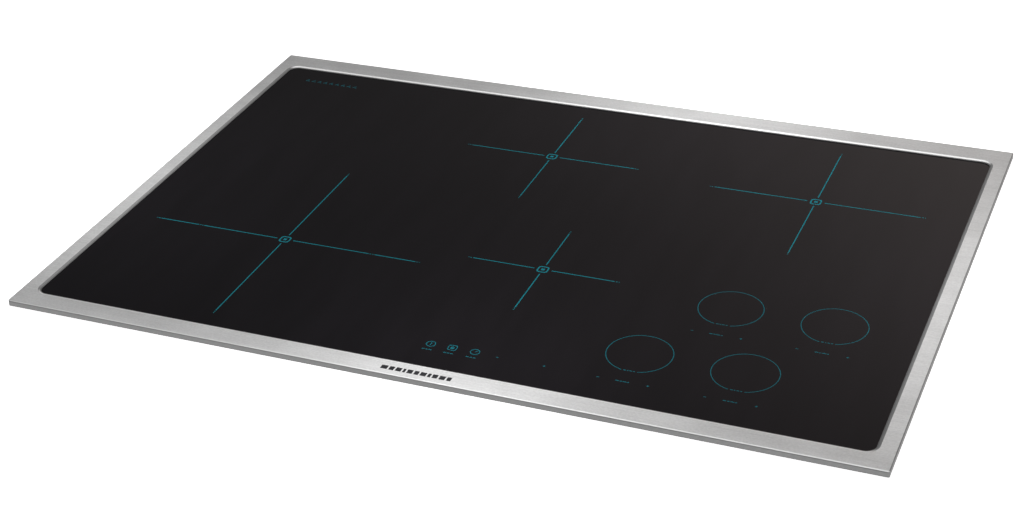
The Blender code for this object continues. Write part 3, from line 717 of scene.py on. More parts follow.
    def skin(self, outlines: Sequence[Outline], steps: int) -> None:
        """Raise a wall through a stack of outlines and back to the first.

        Args:
            outlines: The outlines, in order round the section.
            steps: Facets in each corner.
        """
        first = outlines[0]
        grid = {"x_segments": 1, "y_segments": 1, "size": 0.5, "matrix": first.place()}
        square = bmesh.ops.create_grid(self.bm, **grid)["verts"]
        verts = bevel(self.bm, square, first.radius, "VERTICES", steps)
        faces = dict.fromkeys(face for vert in verts for face in vert.link_faces)
        start = edges = list(max(faces, key=lambda face: face.calc_area()).edges)
        bmesh.ops.delete(self.bm, geom=list(faces), context="FACES_ONLY")
        for old, new in zip(outlines, (*outlines[1:], first)):
            raised = bmesh.ops.extrude_edge_only(self.bm, edges=edges)["geom"]
            moved = {item for item in raised if isinstance(item, bmesh.types.BMVert)}
            for vert in moved:
                vert.co = new.match(old, vert.co)
            edges = [item for item in raised if isinstance(item, bmesh.types.BMEdge)]
            edges = [edge for edge in edges if moved.issuperset(edge.verts)]
        ends = dict.fromkeys(vert for edge in start + edges for vert in edge.verts)
        bmesh.ops.remove_doubles(self.bm, verts=list(ends), dist=1e-7)

    def bar(self, start: Sequence[float], end: Sequence[float], width: float, rise: float) -> None:
        """Add a flat stroke between two points of its foot."""
        start, end = Vector(start), Vector(end)
        along = end - start
        turn = Matrix.Rotation(math.atan2(along.y, along.x), 4, "Z")
        middle = (start + end) / 2 + UP * rise / 2
        size = Matrix.Diagonal((along.length, width, rise, 1.0))
        bmesh.ops.create_cube(self.bm, size=1.0, matrix=Matrix.Translation(middle) @ turn @ size)

    def mesh(self, name: str) -> bpy.types.Mesh:
        """End the making, and return the mesh with its faces outwards."""
        bmesh.ops.recalc_face_normals(self.bm, faces=self.bm.faces)
        mesh = bpy.data.meshes.new(name)
        self.bm.to_mesh(mesh)
        self.bm.free()
        return mesh

    def piece(
        self,
        name: str,
        finish: Finish,
        body: str = "body",
        replaces: Sequence[str] = (),
        sharp: float = SHARP,
    ) -> bpy.types.Object:
        """Turn the shape into a finished piece; its arguments are finish_piece's own."""
        return finish_piece(self.mesh(name), name, finish, body, replaces, sharp)


def finish_piece(
    mesh: bpy.types.Mesh,
    name: str,
    finish: Finish,
    body: str,
    replaces: Sequence[str],
    sharp: float,
) -> bpy.types.Object:
    """Link a mesh as a piece, and give it its finish, shading and body.

    Args:
        mesh: The finished mesh, in the frame's places.
        name: The piece's name.
        finish: What it is made of.
        body: The CAD body that it moves with.
        replaces: CAD nodes that it stands for.
        sharp: Angle in degrees past which its edges are shaded sharp.

    Returns:
        The new object.
    """
    mesh.shade_smooth()
    mesh.set_sharp_from_angle(angle=math.radians(sharp))
    mesh.materials.clear()
    mesh.materials.append(finish.material())
    made = bpy.data.objects.new(name, mesh)
    bpy.context.scene.collection.objects.link(made)
    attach(made, body)
    if replaces:
        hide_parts(*replaces)
    LOG.info("%s rides on %s", name, body)
    return made


def dress(node: str, finish: Finish) -> None:
    """Give a carried-over CAD node its finish."""
    obj = bpy.data.objects[node]
    obj.data.materials.clear()
    obj.data.materials.append(finish.material())
    LOG.info("%s keeps its CAD shape", node)


def soften(node: str, finish: Finish, width: float, body: str = "body") -> None:
    """Stand a copy of a CAD node with eased edges in for it.

    Args:
        node: The CAD node.
        finish: What the copy is made of.
        width: How far each edge is eased.
        body: The CAD body that it moves with.
    """
    mesh = bpy.data.objects[node].data.copy()
    bm = bmesh.new()
    bm.from_mesh(mesh)
    bmesh.ops.remove_doubles(bm, verts=bm.verts, dist=MERGE)
    flat, hard = math.radians(FLAT), math.radians(HARD)
    bmesh.ops.dissolve_limit(bm, angle_limit=flat, verts=bm.verts, edges=bm.edges)
    joined = [edge for edge in bm.edges if edge.is_manifold]
    bevel(bm, [edge for edge in joined if edge.calc_face_angle() > hard], width)
    bmesh.ops.dissolve_degenerate(bm, dist=2e-6, edges=bm.edges)
    bm.to_mesh(mesh)
    bm.free()
    finish_piece(mesh, "fine_" + node, finish, body, [node], SHARP)


# Sub-assemblies


@dataclass
class TrimFrame:
    """The folded steel border: outer skirt, flat top, and an inner lip that slopes to the glass."""

    side: float = 0.0165
    front: float = 0.0215
    back: float = 0.0268
    sheet: float = 0.0012
    lip_width: float = 0.0030
    lip_drop: float = 0.0010
    lip_tip: float = 0.0005
    lip_shares: tuple[float, ...] = (0.0, 0.12, 0.5, 0.88, 1.0)
    bend: float = 0.0009
    bend_steps: int = 4
    crisp: float = 0.0004
    outer_corner: float = 0.0014
    inner_corner: float = 0.009
    corner_steps: int = 12
    badge_blocks: tuple[float, ...] = (
        *(0.0058, 0.0044, 0.0050, 0.0022, 0.0048, 0.0040),
        *(0.0052, 0.0026, 0.0046, 0.0052, 0.0038),
    )
    badge_gap: float = 0.0015
    badge_width: float = 0.0052
    badge_rise: float = 0.00008
    badge_share: float = 0.42

    def build(self) -> None:
        """Skin the folded section round the border, and set the badge in its front."""
        self.low, self.high, _ = room("trim_frame")
        top, foot = self.high.z, self.low.z
        section = [self.outer(0.0, foot)]
        for step in range(self.bend_steps + 1):
            angle = TURN / 4 * step / self.bend_steps
            drop = self.bend * (1 - math.sin(angle))
            section.append(self.outer(self.bend * (1 - math.cos(angle)), top - drop))
        section.append(self.outer(self.bend + self.crisp, top))
        section.append(self.opening(self.lip_width + self.crisp, top))
        for share in self.lip_shares:
            ease = share * share * (3 - 2 * share)
            drop = self.lip_drop * (share + ease) / 2
            section.append(self.opening(self.lip_width * (1 - share), top - drop))
        section.append(self.opening(0.0, top - self.lip_drop - self.lip_tip))
        section.append(self.opening(self.lip_width + self.sheet / 2, top - self.sheet))
        section += [self.outer(self.sheet, top - self.sheet), self.outer(self.sheet, foot)]
        # Painted shade covers the skirt below the bend.
        steel = replace(STEEL, skirt_top=top - self.bend, skirt_foot=foot)
        shape = Shape()
        shape.skin(section, self.corner_steps)
        shape.piece("steel_trim", steel, replaces=["trim_frame"], sharp=SHARP_TRIM)
        self.build_badge(top)

    def outer(self, inset: float, z: float) -> Outline:
        """Return the trim's outer outline, moved in on every side, at height z."""
        low = (self.low.x + inset, self.low.y + inset)
        return Outline(low, (self.high.x - inset, self.high.y - inset), self.outer_corner, z)

    def opening(self, grow: float, z: float) -> Outline:
        """Return the inner opening, grown on every side, at height z."""
        low = (self.low.x + self.side - grow, self.low.y + self.front - grow)
        high = (self.high.x - self.side + grow, self.high.y - self.back + grow)
        return Outline(low, high, self.inner_corner + grow, z)

    def build_badge(self, top: float) -> None:
        """Print a row of plain dark blocks in the middle of the front border."""
        y = self.low.y + self.front * self.badge_share
        half = self.badge_width / 2
        length = sum(self.badge_blocks) + self.badge_gap * (len(self.badge_blocks) - 1)
        left = -length / 2
        badge = Shape()
        for width in self.badge_blocks:
            badge.box((left, y - half, top), (left + width, y + half, top + self.badge_rise))
            left += width + self.badge_gap
        badge.piece("front_badge", PLATE)


class Mark(Enum):
    """The touch marks at the middle of the glass's front edge."""

    POWER = "power"
    LOCK = "lock"
    TIMER = "timer"


@dataclass
class GlassPrint:
    """The print on the glass: zone crosses, control circles, touch marks and plain dashes."""

    top: float
    rise: float = 0.00003
    line: float = 0.0010
    thin: float = 0.0007
    mark_line: float = 0.0008
    dot: float = 0.0012
    zones: tuple[tuple[str, float, float, float], ...] = (
        ("left", -0.207, -0.096, 0.137),
        ("centre_rear", -0.0315, 0.134, 0.0905),
        ("centre_front", 0.038, -0.073, 0.073),
        ("right_rear", 0.235, 0.122, 0.1035),
    )
    inner_zone: float = 0.088
    inner_gap: float = 0.003
    arm_start: float = 0.0082
    arm_tail: float = 0.0058
    last_dot: float = 0.0008
    zone_square: Pair = (0.0052, 0.0013)
    zone_dot: float = 0.0016
    square_round: float = 0.55
    square_steps: int = 5
    control_radius: float = 0.028
    control_break: float = 14.0
    controls: tuple[Pair, ...] = (
        (0.1625, -0.176),
        (0.2522, -0.176),
        (0.2135, -0.0845),
        (0.3032, -0.0845),
    )
    break_dashes: tuple[float, ...] = (0.0022, 0.0012, 0.0022, 0.0016)
    name_dashes: tuple[float, ...] = (0.0030, 0.0018, 0.0034, 0.0014)
    control_sign: float = 0.0022
    marks: tuple[tuple[Mark, float], ...] = (
        (Mark.POWER, -0.0073),
        (Mark.LOCK, 0.0123),
        (Mark.TIMER, 0.0326),
    )
    marks_y: float = -0.217
    mark_radius: float = 0.0039
    mark_dashes: tuple[float, ...] = (0.0026, 0.0020, 0.0026)
    signs_x: Pair = (0.052, 0.0936)
    sign: float = 0.0020
    rear_start: Pair = (-0.3455, 0.2205)
    rear_step: Pair = (0.0070, -0.00015)
    rear_count: int = 9

    @property
    def above(self) -> float:
        """Return the thickness of a stroke that crosses another."""
        return self.rise * 1.1

    def build(self) -> None:
        """Print everything, one piece for each group."""
        for zone in self.zones:
            self.build_cross(*zone)
        self.build_controls()
        self.build_marks()
        self.build_rear_dashes()

    def dashes(
        self,
        shape: Shape,
        start: Vector,
        lengths: Sequence[float],
        gap: float,
        along: Vector = RIGHT,
    ) -> Vector:
        """Print short strokes one after the other.

        Args:
            shape: The print so far.
            start: Where the first one starts.
            lengths: Length of each.
            gap: Space after each.
            along: The way they run, of length 1.

        Returns:
            Where the next would start.
        """
        for length in lengths:
            shape.bar(start, start + along * length, self.line, self.rise)
            start = start + along * (length + gap)
        return start

    def minus_plus(self, shape: Shape, minus: Vector, plus: Vector, reach: float) -> None:
        """Print a small minus and a small plus.

        Args:
            shape: The print so far.
            minus: Left end of the minus.
            plus: Left end of the plus.
            reach: Length of their strokes.
        """
        for foot in (minus, plus):
            shape.bar(foot, foot + RIGHT * reach, self.thin, self.rise)
        stem = plus + Vector((reach / 2, -reach / 2, 0))
        shape.bar(stem, stem + Vector((0, reach, 0)), self.thin, self.above)

    def square(self, shape: Shape, centre: Vector, half: float, width: float) -> None:
        """Print a square ring with rounded corners.

        Args:
            shape: The print so far.
            centre: Its centre, on the glass.
            half: Half its outer side.
            width: Width of the line.
        """
        section = []
        for inset, z in ((0.0, 0.0), (0.0, self.rise), (width, self.rise), (width, 0.0)):
            reach = half - inset
            low, high = (centre.x - reach, centre.y - reach), (centre.x + reach, centre.y + reach)
            corner = half * self.square_round - inset * 0.6
            section.append(Outline(low, high, corner, centre.z + z))
        shape.skin(section, self.square_steps)

    def build_cross(self, name: str, x: float, y: float, reach: float) -> None:
        """Print a zone's cross: four arms that end in dots, round a small square ring.

        Args:
            name: The zone.
            x: Its middle, to the right.
            y: Its middle, to the back.
            reach: Length of an arm from the middle.
        """
        centre = Vector((x, y, self.top))
        shape = Shape()
        for quarter in range(4):
            along = Matrix.Rotation(TURN / 4 * quarter, 3, "Z") @ RIGHT
            start, end = centre + along * self.arm_start, centre + along * (reach - self.arm_tail)
            if name == "left" and quarter % 2 == 0:
                gap = centre + along * (self.inner_zone - self.inner_gap)
                shape.bar(start, gap, self.line, self.rise)
                dots = (self.dot, self.dot)
                start = self.dashes(shape, gap + along * self.line, dots, self.dot, along)
            shape.bar(start, end, self.line, self.rise)
            self.dashes(shape, end + along * self.dot, (self.dot, self.last_dot), self.dot, along)
        self.square(shape, centre, *self.zone_square)
        half = Vector((self.zone_dot, self.zone_dot, 0))
        shape.box(centre - half, centre + half + UP * self.rise)
        shape.piece(f"{name}_zone_print", INK, sharp=SHARP_PRINT)

    def build_controls(self) -> None:
        """Print the four control circles, with the dashes that break and follow each."""
        shape = Shape()
        span = (-90 + self.control_break, 270 - self.control_break)
        for x, y in self.controls:
            centre = Vector((x, y, self.top))
            shape.arc(centre, self.control_radius, self.thin, self.rise, span)
            gap = centre + Vector((-0.0050, -self.control_radius + 0.001, 0))
            self.dashes(shape, gap, self.break_dashes, 0.0009)
            below = centre + Vector((-0.0062, -0.0435, 0))
            self.dashes(shape, below, self.name_dashes, 0.0007)
            minus, plus = below - RIGHT * 0.0160, below + RIGHT * 0.0262
            self.minus_plus(shape, minus, plus, self.control_sign)
        shape.piece("control_circles_print", SOFT_INK, sharp=SHARP_PRINT)

    def build_marks(self) -> None:
        """Print the power, lock and timer marks, and the small minus and plus beside them."""
        shape = Shape()
        for mark, x in self.marks:
            centre = Vector((x, self.marks_y, self.top))
            if mark is Mark.LOCK:
                self.square(shape, centre, 0.0041, self.mark_line)
                low, high = Vector((-0.0016, -0.0018, 0)), Vector((0.0016, 0.0006, self.rise))
                shape.box(centre + low, centre + high)
                shape.arc(centre + Vector((0, 0.0006, 0)), 0.0012, 0.0006, self.rise, (0, 180))
            else:
                shape.arc(centre, self.mark_radius, self.mark_line, self.rise)
            if mark is Mark.POWER:
                half = Vector((0, 0.0019, 0))
                shape.bar(centre - half, centre + half, 0.0009, self.rise)
            if mark is Mark.TIMER:
                hand = Vector((0.0017, 0.0019, 0))
                shape.bar(centre, centre + hand, self.mark_line, self.rise)
            label = centre + Vector((-0.0048, -0.0086, 0))
            self.dashes(shape, label, self.mark_dashes, 0.0008)
        feet = [Vector((x, self.marks_y - 0.0017, self.top)) for x in self.signs_x]
        self.minus_plus(shape, *feet, self.sign)
        shape.piece("touch_marks_print", SOFT_INK, sharp=SHARP_PRINT)

    def build_rear_dashes(self) -> None:
        """Print a plain row of slanted dashes at the glass's rear left corner."""
        shape = Shape()
        start, stride = Vector((*self.rear_start, self.top)), Vector((*self.rear_step, 0))
        for foot in (start + stride * step for step in range(self.rear_count)):
            shape.bar(foot, foot + Vector((0.0030, 0.0036, 0)), self.line, self.rise)
            shape.bar(foot + RIGHT * 0.0024, foot + RIGHT * 0.0044, 0.0009, self.above)
        shape.piece("rear_row_print", SOFT_INK, sharp=SHARP_PRINT)


@dataclass
class GlassTop:
    """The black ceramic glass with its print, its bead and the foam below the trim."""

    def build(self) -> None:
        """Dress the glass and its seals, and print it."""
        dress("glass_top", GLASS)
        dress("glass_seal", SILICONE)
        dress("worktop_gasket", FOAM)
        GlassPrint(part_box("glass_top")[1].z).build()


@dataclass
class BurnerBox:
    """The galvanised box with its blind rivets and blank rating plate, and the shelf inside it."""

    flange: float = 0.005
    rivet: float = 0.0024
    rivet_inset: float = 0.013
    rivet_levels: Pair = (0.012, 0.088)
    plate_half: float = 0.045
    plate_span: Pair = (0.034, 0.066)
    plate_sheet: float = 0.0004
    bar_inset: Pair = (0.006, 0.005)
    bar_rise: float = 0.00006
    bar_lengths: tuple[float, ...] = (0.070, 0.052, 0.064, 0.036)
    bar_pitch: float = 0.0065
    bar_width: float = 0.0026

    def build(self) -> None:
        """Dress the box, and add what is fixed to it."""
        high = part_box("burner_box")[1]
        self.half_x, self.half_y = high.x - self.flange, high.y - self.flange
        dress("burner_box", ZINC)
        soften("coil_tray", ALUMINIUM, 0.0004)
        self.build_rivets()
        self.build_rating_plate()

    def build_rivets(self) -> None:
        """Set domed rivets beside the four upright corners, on all four walls."""
        shape = Shape()
        for side, level, end in product((-1, 1), self.rivet_levels, (-1, 1)):
            dome = [(radius, side * rise) for radius, rise in domed(self.rivet, self.rivet / 2)]
            x, y = end * (self.half_x - self.rivet_inset), end * (self.half_y - self.rivet_inset)
            shape.turned(dome, (x, side * self.half_y, level), Axis.Y, SMALL_ROUND)
            shape.turned(dome, (side * self.half_x, y, level), Axis.X, SMALL_ROUND)
        shape.piece("box_rivets", SCREW_ZINC)

    def build_rating_plate(self) -> None:
        """Fix a blank rating plate in the middle of the front wall, with plain bars on it."""
        low, high = self.plate_span
        face = -self.half_y - self.plate_sheet
        plate, bars = Shape(), Shape()
        plate.box((-self.plate_half, face, low), (self.plate_half, -self.half_y, high), 0.00015)
        plate.piece("rating_plate", ALUMINIUM)
        left = -self.plate_half + self.bar_inset[0]
        for row, length in enumerate(self.bar_lengths):
            z = high - self.bar_inset[1] - row * self.bar_pitch
            bars.box((left, face - self.bar_rise, z - self.bar_width), (left + length, face, z))
        bars.piece("rating_plate_bars", PLATE)


@dataclass
class Fastener:
    """A hexagon sheet-metal screw with a flange, in the place of a CAD screw."""

    node: str
    axis: Axis
    side: int
    head: float = 0.0024
    flange: float = 0.0038
    flange_rim: float = 0.0004
    flange_top: float = 0.0009
    hexagon: float = 0.0029
    shank: float = 0.0016
    taper: float = 0.8
    pitch: float = 0.0009

    def build(self) -> None:
        """Make the flange, the hexagon and the threaded shank."""
        low, high, centre = room(self.node)
        along = "XYZ".index(self.axis.value)
        tip, crown = (low[along], high[along])[:: self.side]
        seat = crown - self.side * self.head
        root = self.shank * self.taper
        centre[along] = 0.0
        rim = [(0.0, 0.0), (self.flange, 0.0), (self.flange, self.flange_rim)]
        rim += [(self.flange * self.taper, self.flange_top), (0.0, self.flange_top)]
        shape = Shape()
        rim = [(reach, seat + self.side * rise) for reach, rise in rim]
        shape.turned(rim, centre, self.axis, 24)
        top = sorted((seat + self.side * 0.0007, crown))
        shape.rod(centre, self.hexagon, top, self.axis, 6, 0.00025)
        thread = [(0.0, seat)]
        for turn in range(round(abs(seat - tip) / self.pitch) - 1):
            start = seat - self.side * self.pitch * turn
            thread += [(root, start), (self.shank, start - self.side * self.pitch / 2)]
        thread += [(root, tip + self.side * 0.0005), (0.0, tip)]
        shape.turned(thread, centre, self.axis, SMALL_ROUND)
        shape.piece("fine_" + self.node, SCREW_ZINC, replaces=[self.node])


@dataclass
class CoilAssembly:
    """One sprung induction coil: base, ferrite star, litz turns, mica sheet, sensor and spring."""

    zone: str
    inner: float = 0.024
    outer_inner: float = 0.096
    wire_pitch: float = 0.0028
    wire_share: float = 0.485
    wire_steps: int = 64
    clip_groove: float = 0.0008
    spring_radius: float = 0.0155
    spring_wire: float = 0.0008
    spring_turns: float = 3.0
    press: float = 0.003

    def build(self) -> None:
        """Make the coil from its base up; everything but the spring rides on the coil's body."""
        self.body = self.zone + "_coil"
        soften(self.zone + "_coil_base", ALUMINIUM, 0.0003, self.body)
        soften(self.zone + "_coil_ferrites", FERRITE, 0.0007, self.body)
        soften(self.zone + "_mica_sheet", MICA, 0.0002, self.body)
        self.build_winding(self.zone + "_coil_winding", self.inner)
        if self.zone == "left":
            self.build_winding(self.zone + "_outer_winding", self.outer_inner)
        self.build_sensor()
        self.build_spring()

    def build_winding(self, node: str, inner: float) -> None:
        """Lay turns of litz wire side by side in the place of a CAD winding.

        Args:
            node: The CAD winding.
            inner: Its inner radius.
        """
        low, high, centre = room(node)
        span = (high.x - low.x) / 2 - inner
        count = round(span / self.wire_pitch)
        spacing = span / count
        half = (spacing * self.wire_share, (high.z - low.z) / 2)
        shape = Shape()
        for turn in range(count):
            wire = oval(inner + spacing * (turn + 0.5), half, 10)
            shape.turned(wire, centre, Axis.Z, self.wire_steps)
        shape.piece("fine_" + node, COPPER, self.body, [node])

    def build_sensor(self) -> None:
        """Turn the ceramic puck that feels the glass, with a groove for its clip."""
        node = self.zone + "_sensor"
        low, high, centre = room(node)
        radius = (high.x - low.x) / 2
        waist = radius - self.clip_groove
        profile = [(0.0, low.z), (radius * 0.75, low.z), (radius, low.z + 0.003)]
        profile += [(radius, low.z + 0.0055), (waist, low.z + 0.0060), (waist, low.z + 0.0070)]
        profile += [(radius, low.z + 0.0075), (radius, high.z - 0.0005)]
        profile += [(radius - 0.0005, high.z), (0.0, high.z)]
        shape = Shape()
        shape.turned(profile, (centre.x, centre.y, 0.0), Axis.Z, 40)
        shape.piece("fine_" + node, CERAMIC, self.body, [node])

    def build_spring(self) -> None:
        """Coil the spring between the shelf and the base, in a mesh of its own."""
        node = self.zone + "_coil_spring"
        low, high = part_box(node)
        x, y = room(self.zone + "_coil_base")[2].xy
        wire = self.spring_wire
        pitch = (high.z - low.z - 2 * wire) / self.spring_turns
        section = oval(self.spring_radius, (wire, wire), 8)
        shape = Shape()
        shape.helix(section, (x, y, low.z + wire), pitch, self.spring_turns, 40)
        spring = shape.piece("fine_" + node, SPRING, replaces=[node])
        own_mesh(spring)


@dataclass
class Fan:
    """An axial fan: square housing with fixing screws, and a seven-blade impeller."""

    side: str
    hub: float = 0.016
    dish: float = 0.0075
    blades: int = 7
    reach: float = 0.0405
    chord: float = 0.0205
    camber: float = 0.0022
    thickness: float = 0.0012
    root_pitch: float = 50.0
    tip_pitch: float = 36.0
    screw_inset: float = 0.0052
    screw_head: Pair = (0.0030, 0.0018)

    def build(self) -> None:
        """Make the housing, its screws and the impeller."""
        node = self.side + "_fan_housing"
        soften(node, BLACK_PLASTIC, 0.0005)
        low, high, middle = room(node)
        self.x, self.y = middle.xy
        reach = (high.x - low.x) / 2 - self.screw_inset
        screws = Shape()
        for side_x, side_y in CORNERS:
            place = (self.x + side_x * reach, self.y + side_y * reach, high.z)
            screws.turned(domed(*self.screw_head), place, Axis.Z, SMALL_ROUND)
        screws.piece(self.side + "_fan_screws", SCREW_ZINC)
        self.build_impeller()

    def build_impeller(self) -> None:
        """Make the hub and its twisted blades."""
        node = self.side + "_fan_impeller"
        low, high, middle = room(node)
        foot, top = low.z, high.z
        profile = [(0.0, foot), (self.hub, foot), (self.hub, top - 0.0020)]
        profile += [(self.hub - 0.0006, top - 0.0006), (self.hub - 0.0020, top), (self.dish, top)]
        profile += [(self.dish - 0.0005, top - 0.0004), (0.0, top - 0.0004)]
        shape = Shape()
        shape.turned(profile, (self.x, self.y, 0.0))
        for step in range(self.blades):
            self.build_blade(shape, middle.z, TURN * step / self.blades)
        shape.piece("fine_" + node, GREY_PLASTIC, self.side + "_impeller", [node])

    def build_blade(self, shape: Shape, z: float, turn: float) -> None:
        """Bend a grid into one cambered blade and thicken it.

        Args:
            shape: The impeller so far.
            z: Height of the blade's middle.
            turn: Where it stands round the hub.
        """
        root = self.hub - 0.0008
        verts = bmesh.ops.create_grid(shape.bm, x_segments=8, y_segments=6, size=0.5)["verts"]
        for vert in verts:
            out, along = vert.co.x + 0.5, vert.co.y
            radius = root + (self.reach - root) * out
            pitch = math.radians(self.root_pitch + (self.tip_pitch - self.root_pitch) * out)
            camber = self.camber * (1 - 4 * along * along)
            across = self.chord * along * math.cos(pitch) - camber * math.sin(pitch)
            rise = self.chord * along * math.sin(pitch) + camber * math.cos(pitch)
            x, y = Matrix.Rotation(turn + across / radius, 2) @ Vector((radius, 0))
            vert.co = (self.x + x, self.y + y, z + rise)
        faces = dict.fromkeys(face for vert in verts for face in vert.link_faces)
        bmesh.ops.solidify(shape.bm, geom=list(faces), thickness=self.thickness)


@dataclass
class CircuitBoard:
    """A board on four feet, with its tall parts and a scatter of small ones."""

    node: str
    blocks: tuple[tuple[float, float, float, float, float], ...]
    cans: tuple[tuple[float, float, float, float], ...] = ()
    packages: tuple[Pair, ...] = ()
    chip_field: tuple[float, float, float, float] = (0.008, 0.096, -0.030, -0.012)
    chip_sizes: tuple[Pair, ...] = (
        (0.0032, 0.0016),
        (0.0020, 0.0012),
        (0.0060, 0.0050),
    )
    chips: int = 14
    lift: float = 0.0045
    thickness: float = 0.0016
    foot_inset: float = 0.008
    foot_radius: float = 0.004
    foot_head: Pair = (0.0032, 0.0014)
    package: Point = (0.005, 0.016, 0.021)
    lead: Point = (0.0007, 0.0012, 0.0052)
    lead_pitch: float = 0.0054
    chip_rise: float = 0.0012
    seed: int = 11

    def build(self) -> None:
        """Make the laminate and everything on it."""
        low, high, middle = room(self.node)
        foot = low.z + self.lift
        self.top = foot + self.thickness
        self.origin = Vector((middle.x, middle.y, self.top))
        laminate, feet = Shape(), Shape()
        laminate.box((low.x, low.y, foot), (high.x, high.y, self.top), 0.0002)
        laminate.piece(self.node + "_laminate", BOARD, replaces=[self.node])
        reach = high - middle - Vector((self.foot_inset, self.foot_inset, 0))
        for side_x, side_y in CORNERS:
            place = self.origin + Vector((side_x * reach.x, side_y * reach.y, 0))
            feet.rod(place, self.foot_radius, (low.z, foot), Axis.Z, SMALL_ROUND, 0.0004)
            feet.turned(domed(*self.foot_head), place, Axis.Z, SMALL_ROUND)
        feet.piece(self.node + "_feet", GREY_PLASTIC)
        self.build_blocks()
        if self.cans:
            self.build_cans()
        if self.packages:
            self.build_packages()
        self.build_chips()

    def build_blocks(self) -> None:
        """Stand the relays and transformers, each with a lip round its lid."""
        shape = Shape()
        inset = Vector((0.0015, 0.0015, 0))
        for x, y, width, depth, height in self.blocks:
            low = self.origin + Vector((x - width / 2, y - depth / 2, 0))
            high = low + Vector((width, depth, height))
            shape.box(low, high - UP * 0.0012, 0.0008)
            shape.box(low + inset + UP * (height - 0.003), high - inset, 0.0005)
        shape.piece(self.node + "_blocks", BLACK_PLASTIC)

    def build_cans(self) -> None:
        """Stand the capacitors: crimped sleeves with a bare lid."""
        sleeves, lids = Shape(), Shape()
        for x, y, radius, height in self.cans:
            place = self.origin + Vector((x, y, 0))
            profile = [(0.0, 0.0), (radius - 0.0008, 0.0), (radius, 0.0010), (radius, 0.0030)]
            profile += [(radius - 0.0009, 0.0038), (radius, 0.0046), (radius, height - 0.0012)]
            profile += [(radius - 0.0012, height - 0.0002), (0.0, height - 0.0002)]
            sleeves.turned(profile, place)
            lid = self.top + height
            lids.rod(place, radius - 0.0022, (lid - 0.0004, lid), Axis.Z, 32)
        sleeves.piece(self.node + "_can_sleeves", BLACK_PLASTIC)
        lids.piece(self.node + "_can_lids", ALUMINIUM)

    def build_packages(self) -> None:
        """Stand the power transistors beside the heatsink, each on its three leads."""
        shells, leads = Shape(), Shape()
        for x, y in self.packages:
            low = self.origin + Vector((x, y - 0.008, 0.004))
            shells.box(low, low + Vector(self.package), 0.0004)
            for step in (-1, 0, 1):
                foot = Vector((x + 0.0020, y + step * self.lead_pitch - 0.0006, -0.0004))
                leads.box(self.origin + foot, self.origin + foot + Vector(self.lead))
        shells.piece(self.node + "_transistors", BLACK_PLASTIC)
        leads.piece(self.node + "_leads", SCREW_ZINC)

    def build_chips(self) -> None:
        """Scatter small parts over a free field of the board."""
        draw = random.Random(self.seed)
        left, right, front, back = self.chip_field
        shape = Shape()
        for _ in range(self.chips):
            width, depth = draw.choice(self.chip_sizes)
            x, y = draw.uniform(left, right - width), draw.uniform(front, back - depth)
            low = self.origin + Vector((x, y, 0))
            shape.box(low, low + Vector((width, depth, self.chip_rise)), 0.00015)
        shape.piece(self.node + "_chips", BLACK_PLASTIC)


LEFT_POWER_BOARD = CircuitBoard(
    "left_power_board",
    blocks=((0.080, -0.110, 0.040, 0.050, 0.026), (0.080, 0.100, 0.034, 0.040, 0.020)),
    cans=((0.080, 0.000, 0.013, 0.032), (0.080, -0.045, 0.013, 0.032)),
    packages=tuple((0.0022, -0.105 + 0.042 * step) for step in range(6)),
    chip_field=(0.012, 0.100, 0.025, 0.070),
)
RIGHT_POWER_BOARD = replace(LEFT_POWER_BOARD, node="right_power_board", seed=23)
FILTER_BOARD = CircuitBoard(
    "filter_board",
    blocks=((-0.050, 0.060, 0.030, 0.050, 0.018),),
    chip_field=(-0.070, -0.010, -0.080, -0.020),
    seed=31,
)


@dataclass
class Electronics:
    """The two power boards with their heatsinks, and the filter board with choke and capacitor."""

    boards: tuple[CircuitBoard, ...] = (LEFT_POWER_BOARD, RIGHT_POWER_BOARD, FILTER_BOARD)

    def build(self) -> None:
        """Make the boards, and dress what stands on them."""
        for board in self.boards:
            board.build()
        for side in ("left", "right"):
            soften(side + "_heatsink", ALUMINIUM, 0.0004)
        dress("filter_choke", COPPER)
        dress("filter_capacitor", GREY_PLASTIC)


@dataclass
class TouchControls:
    """The L-shaped carrier under the glass, and its board with touch pads and number displays."""

    pads: tuple[Pair, ...] = GlassPrint.controls
    front_row: float = -0.1
    front_shift: float = 0.004
    pad_radius: float = 0.017
    pad_width: float = 0.006
    pad_count: int = 12
    pad_gap: float = 2.0
    display_half: Pair = (0.0055, 0.004)
    display_rise: float = 0.0014
    rise: float = 0.00015

    def build(self) -> None:
        """Make the carrier and the board, with one round slider and display for each zone."""
        soften("control_carrier", BLACK_PLASTIC, 0.0003)
        dress("control_board", BOARD)
        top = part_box("control_board")[1].z
        step = 360 / self.pad_count
        sliders, displays = Shape(), Shape()
        for x, y in self.pads:
            if y < self.front_row:
                y += self.front_shift
            for start in (step * pad for pad in range(self.pad_count)):
                span = (start + self.pad_gap, start + step - self.pad_gap)
                sliders.arc((x, y, top), self.pad_radius, self.pad_width, self.rise, span)
            middle, half = Vector((x, y, top)), Vector((*self.display_half, 0))
            displays.box(middle - half, middle + half + UP * self.display_rise, 0.0003)
        sliders.piece("touch_sliders", PAD_COPPER)
        displays.piece("number_displays", BLACK_PLASTIC)


